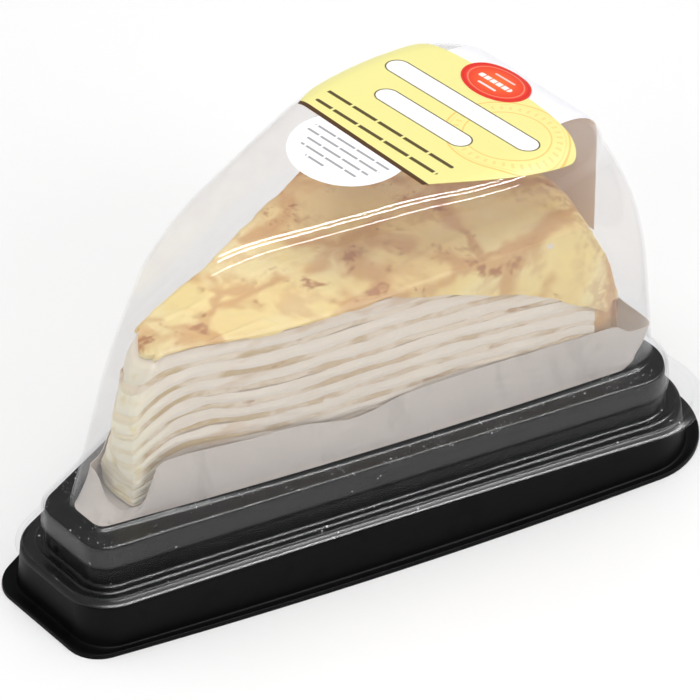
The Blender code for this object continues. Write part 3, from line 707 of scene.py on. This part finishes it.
# ------------------------------------------------------------------ lid and tray
def build_lid(m):
    flange = outline(*FLANGE)
    skirt = outline(*SKIRT)
    under = outline(*inset(SKIRT, 0.55))
    edge = outline(*inset(SKIRT, 0.35))
    foot = dome_ring(0.0)[:, :2]

    def f(t):
        return lerp(flange, skirt, t)

    z = FLANGE_Z
    key = [
        (ring(flange, z - 0.10), 0),
        (ring(f(0.06), z), 0.25),
        (ring(f(0.20), z + 0.55), 0.25),
        (ring(f(0.245), z + 0.85), 0.22),
        (ring(f(0.30), z + 0.85), 0.22),
        (ring(f(0.36), z + 0.10), 0.3),
        (ring(f(0.70), z + 0.05), 0.2),
        (ring(f(0.74), z + 0.25), 0.12),
        (ring(f(0.78), z + 0.25), 0.12),
        (ring(f(0.83), z + 0.05), 0.2),
        (ring(lerp(f(1.0), under, 0.8), z + 0.1), 0.4),
        (ring(under, 14.0), 0.2),
        (ring(lerp(skirt, edge, 0.1), 14.7), 0.35),
        (ring(lerp(skirt, edge, 0.95), LEDGE_Z - 0.55), 0.25),
        (ring(lerp(edge, foot, 0.07), LEDGE_Z), 0.45),
        (ring(lerp(edge, foot, 0.93), LEDGE_Z), 0.4),
    ]
    rings = round_profile([k[0] for k in key] + [dome_ring(0.03)], [k[1] for k in key] + [0], 3)[:-1]
    rings += dome_rings()
    obj = shell("lid_clear_film", rings, 0.34, [m], 60)
    return obj, rings


def build_tray(m):
    brim = outline(*BRIM)
    foot = outline(*WALL_FOOT)
    wall = outline(*WALL_TOP)
    plinth = outline(*PLINTH)
    top = outline(*inset(PLINTH, 0.35))
    bead_out = lerp(brim, foot, 0.62)
    key = [
        (ring(brim, 0.0), 0),
        (ring(lerp(brim, foot, 0.02), 0.75), 0.3),
        (ring(lerp(brim, foot, 0.10), 0.9), 0.3),
        (ring(bead_out, 0.55), 0.6),
        (ring(lerp(brim, foot, 0.90), 0.6), 0.3),
        (ring(foot, 1.5), 0.7),
        (ring(lerp(foot, wall, 0.94), TRAY_SHELF_Z - 0.5), 0.5),
        (ring(lerp(wall, plinth, 0.12), TRAY_SHELF_Z), 0.6),
        (ring(lerp(wall, plinth, 0.80), TRAY_SHELF_Z), 0.5),
        (ring(lerp(wall, plinth, 0.84), TRAY_SHELF_Z - 0.9), 0.3),
        (ring(lerp(wall, plinth, 0.98), TRAY_SHELF_Z - 0.9), 0.3),
        (ring(lerp(plinth, top, 0.2), PLINTH_Z - 1.2), 0.3),
        (ring(lerp(plinth, top, 0.9), PLINTH_Z - 0.2), 0.5),
        (ring(top, PLINTH_Z - 0.05), 0.3),
        (ring(outline(*inset(PLINTH, 2.2)), PLINTH_Z - 0.05), 0.3),
    ]
    rings = round_profile([k[0] for k in key], [k[1] for k in key], 4)
    c = outline(*inset(PLINTH, 2.2))
    for s in (0.8, 0.5, 0.2):
        rings.append(ring(np.column_stack([12 + (c[:, 0] - 12) * s, c[:, 1] * s]), PLINTH_Z - 0.05))
    return shell("tray_black_formed", rings, 0.55, [m], 50, floor_z=0.0)


# ------------------------------------------------------------------ slice
def rim_fall(rho):
    v = np.clip(1 - np.asarray(rho, float) / RIM_ROUND, 0, 1)
    return np.sqrt(np.clip(1 - v ** RIM_POWER, 0, 1))


def wave(x, z):
    w = 1.1 * np.exp(-((x + 35) / 8.5) ** 2) - 0.6 * np.exp(-((x + 14) / 10) ** 2) \
        + 0.3 * np.exp(-((x - 12) / 9) ** 2)
    mid = np.exp(-((z - 36) / 8.0) ** 2) * 0.9 * np.exp(-((x + 34) / 7.0) ** 2)
    droop = 4.0 * np.clip((-38.0 - x) / 8.5, 0, 1.2) ** 1.6
    return (w + mid - droop) * np.clip((z - CAKE_BASE_Z) / 9.0, 0, 1)


def tip_at(z):
    return TIP_X + 6.0 * np.clip((z - 41.5) / 9.0, 0, 1.1) ** 1.5


def rim_bulge(v):
    return RIM_BULGE * (1 - np.minimum(1.0, np.abs(v)) ** 2)


def side_draw(z):
    return 1 - 0.058 * np.clip((z - 33.0) / 16.0, 0, 1) ** 1.3


def boundary(z, x, y):
    v = np.arctan2(y, x - APEX_X) / WEDGE_HALF_ANGLE
    rho = RIM_R + rim_bulge(v) - np.hypot(x - APEX_X, y)
    u = np.clip((x - 5.0) / 38.0, 0, 1)
    rise = 1 + RIM_RISE * u * u * (3 - 2 * u)
    return CAKE_BASE_Z + (z - CAKE_BASE_Z) * rise * rim_fall(rho) + wave(x, z)


def crepe_levels():
    z = [CAKE_TOP_Z]
    for i in range(CREPES - 1):
        z.append(z[-1] - (PITCH_UPPER if i < UPPER_PITCHES else PITCH_LOWER))
    return z


def tip_shape(z):
    """Across the blunt tip: (half width near side, far side, set-back of the far corner)."""
    u = np.clip((z - 22.0) / 28.0, 0, 1)
    near = np.interp(u, [0, 0.5, 0.75, 1.0], [3.7, 3.9, 3.8, 3.0])
    far = np.interp(u, [0, 0.3, 0.6, 1.0], [5.4, 4.6, 3.3, 3.9])
    back = np.interp(u, [0, 0.3, 0.6, 1.0], [0.0, 0.9, 2.6, 2.0])
    return near, far, back


def wedge_xy(s, v, z, r_end):
    """s, v arrays -> plan position in the slice; s 0 tip .. 1 rim, v -1..1 across."""
    x0 = tip_at(z)
    near, far, back = tip_shape(z)
    wide = np.where(v < 0, near, far)
    fade = (1 - s) ** 3
    straight = (x0 - APEX_X) * math.tan(WEDGE_HALF_ANGLE)
    draw = 2.0 * np.clip((z - 39.0) / 11.0, 0, 1) ** 1.3
    sy = v * lerp(straight - draw, wide, fade)
    nose = 1.3 * v ** 2 * (0.35 + 0.65 * np.clip((z - 30) / 15, 0, 1)) + np.where(v > 0, back * v, 0.0)
    sx = x0 - 0.5 + nose * (1 - s) ** 6
    th = WEDGE_HALF_ANGLE * v
    r = r_end + rim_bulge(v)
    ex, ey = APEX_X + r * np.cos(th), r * np.sin(th) * side_draw(z)
    return sx + (ex - sx) * s, sy + (ey - sy) * s


NS, NV, NK = 120, 14, 6


def sag(z, x):
    """The cut layers bend down towards the rim."""
    return 4.2 * (z - CAKE_BASE_Z) / 30.7 * smooth01((x - 8.0) / 38.0)


def layer(name, z_hi, z_lo, r_end, mats, seed, kind, sag_hi=True):
    """One crepe or cream as a closed sheet with an uneven cut edge."""
    s = (np.arange(NS + 1) / NS)
    s = 0.5 - 0.5 * np.cos(s * math.pi) * 0.25 - 0.5 * (1 - 2 * s) * 0.75
    v = np.linspace(-1, 1, NV + 1)
    S, V = np.meshgrid(s, v, indexing="ij")

    def surface(z, wseed, sagging=True):
        x, y = wedge_xy(S, V, z, r_end)
        p = np.column_stack([x.ravel(), y.ravel(), np.full(x.size, z)])
        wob = noise(p * (1, 1, 0), 8.0, wseed, 2) * 0.55 + noise(p * (1, 1, 0), 2.6, wseed + 5, 2) * 0.22
        zz = boundary(z, x, y) + wob.reshape(x.shape) * np.clip((z - CAKE_BASE_Z) / 3, 0, 1) \
            * np.clip((CAKE_TOP_Z - z) / 3.5, 0.2, 1)
        if sagging:
            zz = zz - sag(z, x)
        return x, y, zz

    xt, yt, zt = surface(z_hi, int(round(z_hi * 10)), sag_hi)
    xb, yb, zb = surface(z_lo, int(round(z_lo * 10)))
    per = [(i, 0) for i in range(NS + 1)] + [(NS, j) for j in range(1, NV + 1)] \
        + [(i, NV) for i in range(NS - 1, -1, -1)] + [(0, j) for j in range(NV - 1, 0, -1)]
    pi = np.array([p[0] for p in per])
    pj = np.array([p[1] for p in per])
    top_grid = np.stack([xt, yt, zt], -1)
    bot_grid = np.stack([xb, yb, zb], -1)
    tp, bp = top_grid[pi, pj], bot_grid[pi, pj]
    # outward direction in plan
    nxt, prv = np.roll(tp, -1, 0), np.roll(tp, 1, 0)
    tan = nxt[:, :2] - prv[:, :2]
    tan /= np.maximum(np.linalg.norm(tan, axis=1, keepdims=True), 1e-9)
    outw = np.column_stack([tan[:, 1], -tan[:, 0]])
    length = np.concatenate([[0], np.cumsum(np.linalg.norm(np.diff(tp[:, :2], axis=0), axis=1))])
    verts = [top_grid.reshape(-1, 3)]
    base_side = len(verts[0])
    side = []
    for k in range(NK + 1):
        t = k / NK
        q = tp * (1 - t) + bp * t
        prof = math.sin(t * math.pi)
        pp = np.column_stack([q[:, 0], q[:, 1], q[:, 2] * 1.5])
        n1 = noise(pp, 3.0, seed, 2)
        n2 = noise(pp, 9.0, seed + 9)
        if kind == "crepe":
            d = 0.10 * prof + 0.30 * n1 + 0.30 * n2 - 0.10
        else:
            d = -0.05 + 0.22 * prof + 0.30 * n1 + 0.30 * n2
        d = np.clip(d, -0.8, 0.36) * (0.35 + 0.65 * prof)
        tipn = 1 - smooth01((q[:, 0] - tip_at(z_hi) - 0.9) / 1.6)
        smear = 0.35 + 0.75 * noise(q, 4.2, 77, 2) + 0.25 * noise(q, 1.5, 78)
        d = d * (1 - tipn) + np.clip(smear, -0.25, 1.05) * tipn * (0.75 + 0.25 * prof)
        q = q.copy()
        q[:, :2] += outw * d[:, None]
        side.append(q)
    side = np.array(side)
    verts.append(side[1:-1].reshape(-1, 3))
    verts.append(bot_grid.reshape(-1, 3))
    base_bot = base_side + (NK - 1) * len(per)

    def t_id(i, j):
        return i * (NV + 1) + j

    def side_id(k, m):
        m %= len(per)
        if k == 0:
            return t_id(*per[m])
        if k == NK:
            return base_bot + t_id(*per[m])
        return base_side + (k - 1) * len(per) + m

    faces = []
    for i in range(NS):
        for j in range(NV):
            faces.append((t_id(i, j), t_id(i + 1, j), t_id(i + 1, j + 1), t_id(i, j + 1)))
            faces.append((base_bot + t_id(i, j), base_bot + t_id(i, j + 1),
                          base_bot + t_id(i + 1, j + 1), base_bot + t_id(i + 1, j)))
    for k in range(NK):
        for mth in range(len(per)):
            faces.append((side_id(k, mth), side_id(k + 1, mth), side_id(k + 1, mth + 1), side_id(k, mth + 1)))
    allv = np.vstack(verts)
    # the moved first and last side rows belong to the grids
    allv[[t_id(*p) for p in per]] = side[0]
    allv[[base_bot + t_id(*p) for p in per]] = side[-1]
    return make(name, allv, faces, mats, 55)


def front_drop(x):
    """How far the top crepe hangs down over the cut sides."""
    return 0.7 + 2.6 * smooth01((x - 2.0) / 12.0) + 6.0 * smooth01((x - 12.0) / 20.0) \
        + 6.5 * smooth01((x - 28.0) / 14.0)


def build_top_crepe(mats):
    """The top crepe: a wrinkled skin over the slice that drapes over the rim and the cut edges."""
    NU, NW, NR, NH = 200, 64, 34, 9
    v_in = np.linspace(-1, 1, NW + 1)
    r_in = RIM_R - LAYER_END + 0.3
    rows_top, rows_low = [], []

    th_in = WEDGE_HALF_ANGLE

    def flap(place, hang, out, base):
        """points down one cut side, top first, lying out from it; place(level) -> x, y"""
        rows = []
        for q in range(1, NH + 1):
            t = q / NH
            level = CAKE_TOP_Z - hang * t
            x, y = place(level)
            x, y = float(x), float(y)
            sgn = -1 if y < 0 else 1
            lift = out * min(1.0, t * 2.5)
            rows.append((x, y + sgn * lift, float(boundary(level, x, y)) + base))
        return rows

    def both(x, y, z, place, hang, out, base):
        left = flap(lambda lv: place(-1.0, lv), hang, out, base)[::-1]
        right = flap(lambda lv: place(1.0, lv), hang, out, base)
        return np.vstack([left, np.column_stack([x, y, z]), right])

    for i in range(NU + 1):
        s = np.full_like(v_in, i / NU)
        x, y = wedge_xy(s, v_in, CAKE_TOP_Z, r_in)
        hang = float(front_drop(x[0]))

        def place(v, lv, si=i / NU):
            px, py = wedge_xy(np.array([si]), np.array([v]), lv, r_in)
            return px[0], py[0]

        rows_top.append(both(x, y, boundary(CAKE_TOP_Z, x, y), place, hang, 0.62, 0.0))
        rows_low.append(both(x, y, boundary(CAKE_TOP_Z - CREPE_T, x, y) + 0.1, place, hang, 0.05, 0.0))
    th = WEDGE_HALF_ANGLE * v_in
    zi = None
    for j in range(1, NR + 1):
        t = j / NR
        rho = (LAYER_END - 0.3) * (1 - t) ** 1.9
        r = RIM_R + rim_bulge(v_in) - rho
        level = CAKE_TOP_Z + (CAKE_BASE_Z - CAKE_TOP_Z) * t
        x, y = APEX_X + r * np.cos(th), r * np.sin(th)
        z = np.maximum(boundary(CAKE_TOP_Z, x, y), CAKE_BASE_Z + 2.0 * (1 - smooth01((t - 0.93) / 0.07)))
        y = y * side_draw(np.minimum(level + 14, CAKE_TOP_Z))
        ri = RIM_R + rim_bulge(v_in) - LAYER_END + 0.35
        xi, yi = APEX_X + ri * np.cos(th), ri * np.sin(th)
        zt = boundary(CAKE_TOP_Z - CREPE_T, xi, yi) + 0.1
        zl = zt + (CAKE_BASE_Z - zt) * t
        hang = float(front_drop(x[0])) * float(np.clip((z.min() - CAKE_BASE_Z - 2) / 24.0, 0, 1)) + 0.05

        def place(v, lv, rr=r):
            e = -1 if v < 0 else 0
            sc_y = side_draw(min(lv + 14 * t, CAKE_TOP_Z))
            return APEX_X + rr[e] * math.cos(th_in), v * rr[e] * math.sin(th_in) * sc_y

        rows_top.append(both(x, y, z, place, hang, 0.62, 0.0))
        low_y = yi * side_draw(np.minimum(level + 14, CAKE_TOP_Z))
        rows_low.append(both(xi, low_y, zl, lambda v, lv, rr=r: (place(v, lv)[0] - 0.3, place(v, lv)[1] - 0.3 * v),
                             hang, 0.0, 0.0))
    top = np.array(rows_top)
    low = np.array(rows_low)
    du = np.gradient(top, axis=0)
    dv = np.gradient(top, axis=1)
    nrm = np.cross(du, dv)
    nrm /= np.maximum(np.linalg.norm(nrm, axis=2, keepdims=True), 1e-9)
    p = top.reshape(-1, 3)
    h = 0.34 * noise(p * (1, 1, 0.6), 9.0, 3, 2) + 0.15 * noise(p, 3.2, 8, 2) + 0.05 * noise(p, 1.2, 4)
    fold = np.abs(noise(p * (0.35, 1.0, 0.5), 8.0, 21))
    h += 0.26 * np.exp(-(fold / 0.10) ** 2)
    keep = 1 - smooth01((p[:, 0] + 36.0) / -5.0) * 0.6
    moved = p + nrm.reshape(-1, 3) * (h * keep)[:, None]
    top = moved.reshape(top.shape)
    # uneven lower edges of the hanging flaps
    for side in (0, -1):
        e = top[:, side]
        wob = noise(e * (1, 1, 0), 4.5, 61, 2) * 0.9
        cols = range(NH) if side == 0 else range(-1, -NH - 1, -1)
        for q, c in enumerate(cols):
            f = (1 - q / NH) * np.clip((e[:, 0] + 40) / 10, 0.2, 1)
            top[:, c, 2] += wob * f
            low[:, c, 2] += wob * f
    top[-1, :, 2] = CAKE_BASE_Z + 0.05
    low[-1, :, 2] = CAKE_BASE_Z + 0.05
    nu, nw = top.shape[:2]
    verts = np.vstack([top.reshape(-1, 3), low.reshape(-1, 3)])
    off = nu * nw

    def a(i, j):
        return i * nw + j

    faces = []
    for i in range(nu - 1):
        for j in range(nw - 1):
            faces.append((a(i, j), a(i + 1, j), a(i + 1, j + 1), a(i, j + 1)))
            faces.append((off + a(i, j), off + a(i, j + 1), off + a(i + 1, j + 1), off + a(i + 1, j)))
    for i in range(nu - 1):
        faces.append((a(i, 0), off + a(i, 0), off + a(i + 1, 0), a(i + 1, 0)))
        faces.append((a(i, nw - 1), a(i + 1, nw - 1), off + a(i + 1, nw - 1), off + a(i, nw - 1)))
    for j in range(nw - 1):
        faces.append((a(0, j), a(0, j + 1), off + a(0, j + 1), off + a(0, j)))
        faces.append((a(nu - 1, j), off + a(nu - 1, j), off + a(nu - 1, j + 1), a(nu - 1, j + 1)))
    return make("crepe_top_skin", verts, faces, mats, 60)


# ------------------------------------------------------------------ paper
def paper_edge(x, y):
    z = 28.7 - 2.5 * np.exp(-((x + 5) / 8.5) ** 2) + 1.2 * np.exp(-((x + 39) / 8) ** 2)
    tip = smooth01((-42.5 - x) / 4.0)
    low = 21.0 + 5.0 * smooth01((y + 1.0) / 4.0)
    z = z + (low - z) * tip
    end = smooth01((x - 46.5) / 4.0)
    return z + (26.2 - z) * end


def build_paper(m):
    def hw(x):
        return (x - APEX_X) * math.tan(WEDGE_HALF_ANGLE)

    clear = 0.45
    top = outline(TIP_X - 3.6, hw(TIP_X) + clear + 0.4, 55.4, hw(54.2) + clear, 1.6, 1.8, 0.0, 0.9)
    foot = outline(-54.9, 4.1, 50.0, 35.9, 2.6, 3.0, 1.2, 5.3)
    floor = outline(-52.9, 3.4, 48.6, 34.5, 2.2, 2.6, 1.1, 5.1)
    ztop = paper_edge(top[:, 0], top[:, 1])
    rings = []
    steps = 22
    for j in range(steps + 1):
        t = j / steps
        # concave sweep from the floor up to the slice
        w = smooth01(t) * 0.45 + t * 0.55
        xy = lerp(foot, top, w ** 0.75)
        z = PAPER_Z + 0.25 + (ztop - PAPER_Z - 0.25) * t ** 1.25
        rings.append(ring(xy, z))
    r = np.array(rings)
    nrm, _ = ring_normals(r)
    p = r.reshape(-1, 3)
    tt = np.repeat(np.arange(steps + 1) / steps, r.shape[1])
    crink = 0.50 * noise(p * (1, 1, 0.25), 7.0, 41, 2) + 0.16 * noise(p * (1, 1, 0.5), 2.6, 44, 2)
    folds = np.abs(noise(p * (1, 1, 0.12), 5.5, 47))
    crink += 0.35 * np.exp(-(folds / 0.09) ** 2)
    crink *= np.clip(tt * 4, 0.15, 1) * (1 - 0.6 * smooth01((tt - 0.75) / 0.25))
    r = (p + nrm.reshape(-1, 3) * crink[:, None]).reshape(r.shape)
    floor_rings = [ring(lerp(floor, foot, 0.6), PAPER_Z + 0.2)]
    cen = []
    for s in (0.75, 0.5, 0.25):
        cen.append(ring(np.column_stack([5 + (floor[:, 0] - 5) * s, floor[:, 1] * s]), PAPER_Z + 0.2))
    full = list(reversed(r)) + floor_rings + cen
    full = np.array(full)
    nrm, even = ring_normals(full)
    low = full + nrm * (0.12 * even)[..., None] * 1.0
    uv, uf = skin(full)
    lv, lf = skin(low)
    off = len(uv)
    n = full.shape[1]
    faces = list(uf) + [tuple(off + i for i in reversed(f)) for f in lf]
    for i in range(n):
        k = (i + 1) % n
        faces.append((i, off + i, off + k, k))
    verts = np.vstack([uv, lv])
    verts[:, 2] = np.maximum(verts[:, 2], PAPER_Z)
    return make("paper_liner_cup", verts, faces, [m], 70)


# ------------------------------------------------------------------ stickers
FAN_X = (12.4, 48.6)
FAN_Y = 1.2
FAN_HALF = (17.0, 25.3)
FAN_NOSE = 41.0
STRIP_HALF = 15.6
STRIP_LOW_Z = 36.0
CARE = (9.5, 1.0, 11.0, 11.6)
BADGE = (47.2, 1.8, 5.7, 7.6)


def fan_half(x):
    u = min(1.0, (x - FAN_X[0]) / (FAN_NOSE - FAN_X[0]))
    side = lerp(FAN_HALF[0], FAN_HALF[1], 1 - (1 - u) ** 2)
    w = max(0.0, (x - FAN_NOSE) / (FAN_X[1] - FAN_NOSE))
    return side * math.sqrt(max(0.0, 1 - w ** 2.6))


def fan_reach(dy):
    w = max(0.0, 1 - (min(dy, FAN_HALF[1]) / FAN_HALF[1]) ** 2)
    return FAN_NOSE + (FAN_X[1] - FAN_NOSE) * w ** (1 / 2.6)


def tree_of(verts, faces):
    return BVHTree.FromPolygons([Vector(v) for v in np.asarray(verts).tolist()], faces)


def drop_on(tree, x, y):
    hit, n, _, _ = tree.ray_cast(Vector((x, y, 100.0)), Vector((0, 0, -1)))
    return hit, (n if n.z > 0 else -n)


def push_on(tree, y, z):
    hit, n, _, _ = tree.ray_cast(Vector((90.0, y, z)), Vector((-1, 0, 0)))
    return hit, (n if n.x > 0 else -n)


def sheet(name, grid, lift, thick, mats, back=False):
    ns, nv = len(grid), len(grid[0])
    low = np.array([[list(p + n * lift) for p, n in row] for row in grid])
    top = np.array([[list(p + n * (lift + thick)) for p, n in row] for row in grid])
    verts = np.vstack([top.reshape(-1, 3), low.reshape(-1, 3)])
    off = ns * nv
    faces, slots = [], []

    def a(i, j):
        return i * nv + j

    for i in range(ns - 1):
        for j in range(nv - 1):
            faces.append((a(i, j), a(i + 1, j), a(i + 1, j + 1), a(i, j + 1)))
            slots.append(0)
            faces.append((off + a(i, j), off + a(i, j + 1), off + a(i + 1, j + 1), off + a(i + 1, j)))
            slots.append(1 if back else 0)
    for i in range(ns - 1):
        faces.append((a(i, 0), off + a(i, 0), off + a(i + 1, 0), a(i + 1, 0)))
        faces.append((a(i, nv - 1), a(i + 1, nv - 1), off + a(i + 1, nv - 1), off + a(i, nv - 1)))
        slots += [0, 0]
    for j in range(nv - 1):
        faces.append((a(0, j), a(0, j + 1), off + a(0, j + 1), off + a(0, j)))
        faces.append((a(ns - 1, j), off + a(ns - 1, j), off + a(ns - 1, j + 1), a(ns - 1, j + 1)))
        slots += [0, 0]
    return make(name, verts, faces, mats, 50, slots)


def build_stickers(rings, m):
    dome = skin(np.array(rings))
    tree = tree_of(*dome)
    out = []
    # fan
    nf = 56
    xs = [lerp(FAN_X[0], FAN_NOSE, i / 34) for i in range(35)]
    xs += [FAN_NOSE + (FAN_X[1] - FAN_NOSE) * math.sin(i / 22 * math.pi / 2) * 0.9995 for i in range(1, 23)]
    vs = [math.sin(t * math.pi / 2) if False else t for t in np.linspace(-1, 1, nf + 1)]
    grid = [[drop_on(tree, x, FAN_Y + v * fan_half(x)) for v in vs] for x in xs]
    fan = sheet("label_fan_film", grid, 0.03, 0.09, [m["fan"], m["back"]], True)
    out.append((fan, "label_fan", "label_yellow"))
    # seal strip
    span = np.linspace(-1, 1, 33)
    grid = []
    for t in [i / 14 for i in range(15)]:
        row = []
        for v in span:
            y = v * STRIP_HALF
            x0 = fan_reach(abs(y - FAN_Y)) - 0.6
            row.append(drop_on(tree, lerp(x0, 56.4, t), y))
        grid.append(row)
    for z in np.concatenate([np.linspace(60.6, 57.5, 4), np.linspace(56, STRIP_LOW_Z, 14)]):
        grid.append([push_on(tree, v * (STRIP_HALF - 0.35), float(z)) for v in span])
    strip = sheet("seal_strip_film", grid, 0.012, 0.012, [m["strip"], m["back"]], True)
    out.append((strip, "seal_strip", "label_white"))
    # white oval
    cx, cy, ax, ay = CARE
    grid = []
    for i in range(31):
        x = cx - ax * math.cos(i / 30 * math.acos((cx - FAN_X[0] - 1.2) / ax))
        w = ay * math.sqrt(max(0.0, 1 - ((x - cx) / ax) ** 2))
        grid.append([drop_on(tree, x, cy + v * w) for v in np.linspace(-1, 1, 31)])
    care = sheet("care_sticker_film", grid, 0.008, 0.018, [m["care"], m["back"]], True)
    out.append((care, "care_sticker", "sticker_white"))
    # badge
    cx, cy, ax, ay = BADGE
    grid = []
    for i in range(29):
        c = -math.cos(math.pi * (i / 28)) * 0.9998
        w = ay * math.sqrt(max(0.0, 1 - c * c))
        grid.append([drop_on(tree, cx + ax * c, cy + v * w) for v in np.linspace(-1, 1, 29)])
    badge = sheet("oval_badge_film", grid, 0.14, 0.08, [m["badge"]])
    out.append((badge, "oval_badge", "badge_red"))
    return out


# ------------------------------------------------------------------ build all
M_TRAY = mat_tray()
M_LID = mat_lid()
M_TOP = mat_top_crepe()
M_CREPE = mat_crepe()
M_CREAM = mat_cream()
M_PAPER = mat_paper()
SM = {"fan": mat_fan(), "care": mat_care(), "strip": mat_strip(), "badge": mat_badge(), "back": mat_strip_back()}

pieces = []
tray = build_tray(M_TRAY)
pieces.append((tray, "tray", "black_tray"))
lid, lid_rings = build_lid(M_LID)
pieces.append((lid, "lid", "clear_lid"))
paper = build_paper(M_PAPER)
pieces.append((paper, "liner_paper", "liner_paper"))
top = build_top_crepe([M_TOP])
pieces.append((top, "crepe_01_top", "top_crepe"))
levels = crepe_levels()
for i in range(CREPES):
    if i:
        low = CAKE_BASE_Z if i == CREPES - 1 else levels[i] - CREPE_T
        o = layer("crepe_sheet_%02d" % (i + 1), levels[i], low, RIM_R - LAYER_END + 0.3, [M_CREPE], 100 + i, "crepe")
        pieces.append((o, "crepe_%02d" % (i + 1), "crepe"))
    if i < CREPES - 1:
        o = layer("cream_fill_%02d" % (i + 1), levels[i] - CREPE_T - 0.02, levels[i + 1] + 0.02, RIM_R - LAYER_END + 0.3,
                  [M_CREAM], 200 + i, "cream", i > 0)
        pieces.append((o, "cream_%02d" % (i + 1), "cream"))
pieces += build_stickers(lid_rings, SM)

for obj, node, slot in pieces:
    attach(obj, "root")
    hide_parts(node)

# ------------------------------------------------------------------ stage
bm = bmesh.new()
bmesh.ops.create_grid(bm, x_segments=1, y_segments=1, size=4.0)
fm = bpy.data.meshes.new("floor")
bm.to_mesh(fm)
bm.free()
fm.materials.append(mat_floor())
floor = bpy.data.objects.new("floor", fm)
bpy.context.scene.collection.objects.link(floor)

cam_data = bpy.data.cameras.new("camera")
cam_data.sensor_width = 36.0
cam_data.lens = 3600.0 / 700.0 * 36.0
cam_data.clip_start = 0.01
cam_data.clip_end = 20.0
cam = bpy.data.objects.new("camera", cam_data)
bpy.context.scene.collection.objects.link(cam)
R = Vector((0.74862, -0.66300, 0.0))
U = Vector((0.42257, 0.47714, 0.77057))
F = Vector((0.51089, 0.57686, -0.63736))
cam.matrix_world = Matrix(((R.x, U.x, -F.x, -0.33895), (R.y, U.y, -F.y, -0.39297),
                           (R.z, U.z, -F.z, 0.45771), (0, 0, 0, 1)))
bpy.context.scene.camera = cam


def area(name, loc, target, size, power, size_y=None, colour=(1, 1, 1), glossy=False):
    d = bpy.data.lights.new(name, 'AREA')
    d.shape = 'RECTANGLE' if size_y else 'SQUARE'
    d.size = size
    if size_y:
        d.size_y = size_y
    d.energy = power
    d.color = colour
    o = bpy.data.objects.new(name, d)
    bpy.context.scene.collection.objects.link(o)
    o.location = loc
    o.rotation_euler = (Vector(target) - Vector(loc)).to_track_quat('-Z', 'Y').to_euler()
    o.visible_glossy = glossy
    return o


area("key_top", (0.1, 0.1, 0.9), (0, 0, 0.03), 0.9, 6.6)
area("fill_front", (0.2, -0.9, 0.5), (0, 0, 0.03), 0.7, 3.0)
area("fill_left", (-0.9, -0.1, 0.5), (0, 0, 0.03), 0.6, 1.9)


def strip(name, phi, width, power, length=0.85, dist=0.72, along=(0.957, -0.290, 0.0), wall=(-0.290, -0.957, 0.0)):
    """A long narrow light, parallel to the lid's front shoulder, that shows as one thin line on it."""
    to_cam = -F
    n = Vector(wall) * math.cos(phi) + Vector((0, 0, 1)) * math.sin(phi)
    d = (2 * n.dot(to_cam) * n - to_cam).normalized()
    ld = bpy.data.lights.new(name, 'AREA')
    ld.shape = 'RECTANGLE'
    ld.size, ld.size_y, ld.energy = length, width, power
    o = bpy.data.objects.new(name, ld)
    bpy.context.scene.collection.objects.link(o)
    z_axis = d
    x_axis = (Vector(along) - z_axis * Vector(along).dot(z_axis)).normalized()
    y_axis = z_axis.cross(x_axis)
    m = Matrix((x_axis, y_axis, z_axis)).transposed().to_4x4()
    m.translation = Vector((0, -0.018, 0.066)) + d * dist
    o.matrix_world = m
    o.visible_diffuse = False
    return o


strip("line_a", math.radians(65.0), 0.026, 4.6)
strip("line_b", math.radians(58.0), 0.026, 4.2)
strip("line_c", math.radians(44.0), 0.020, 2.2)

world = bpy.data.worlds.new("studio")
bpy.context.scene.world = world
world.use_nodes = True
bg = world.node_tree.nodes["Background"] if "Background" in world.node_tree.nodes else None
if bg is None:
    bg = world.node_tree.nodes.new("ShaderNodeBackground")
    wo = world.node_tree.nodes.new("ShaderNodeOutputWorld")
    world.node_tree.links.new(bg.outputs[0], wo.inputs[0])
bg.inputs[0].default_value = (1, 1, 1, 1)
bg.inputs[1].default_value = 0.31

sc = bpy.context.scene
sc.view_settings.view_transform = 'Standard'
sc.view_settings.look = 'None'
sc.cycles.transparent_max_bounces = 28
sc.cycles.max_bounces = 8
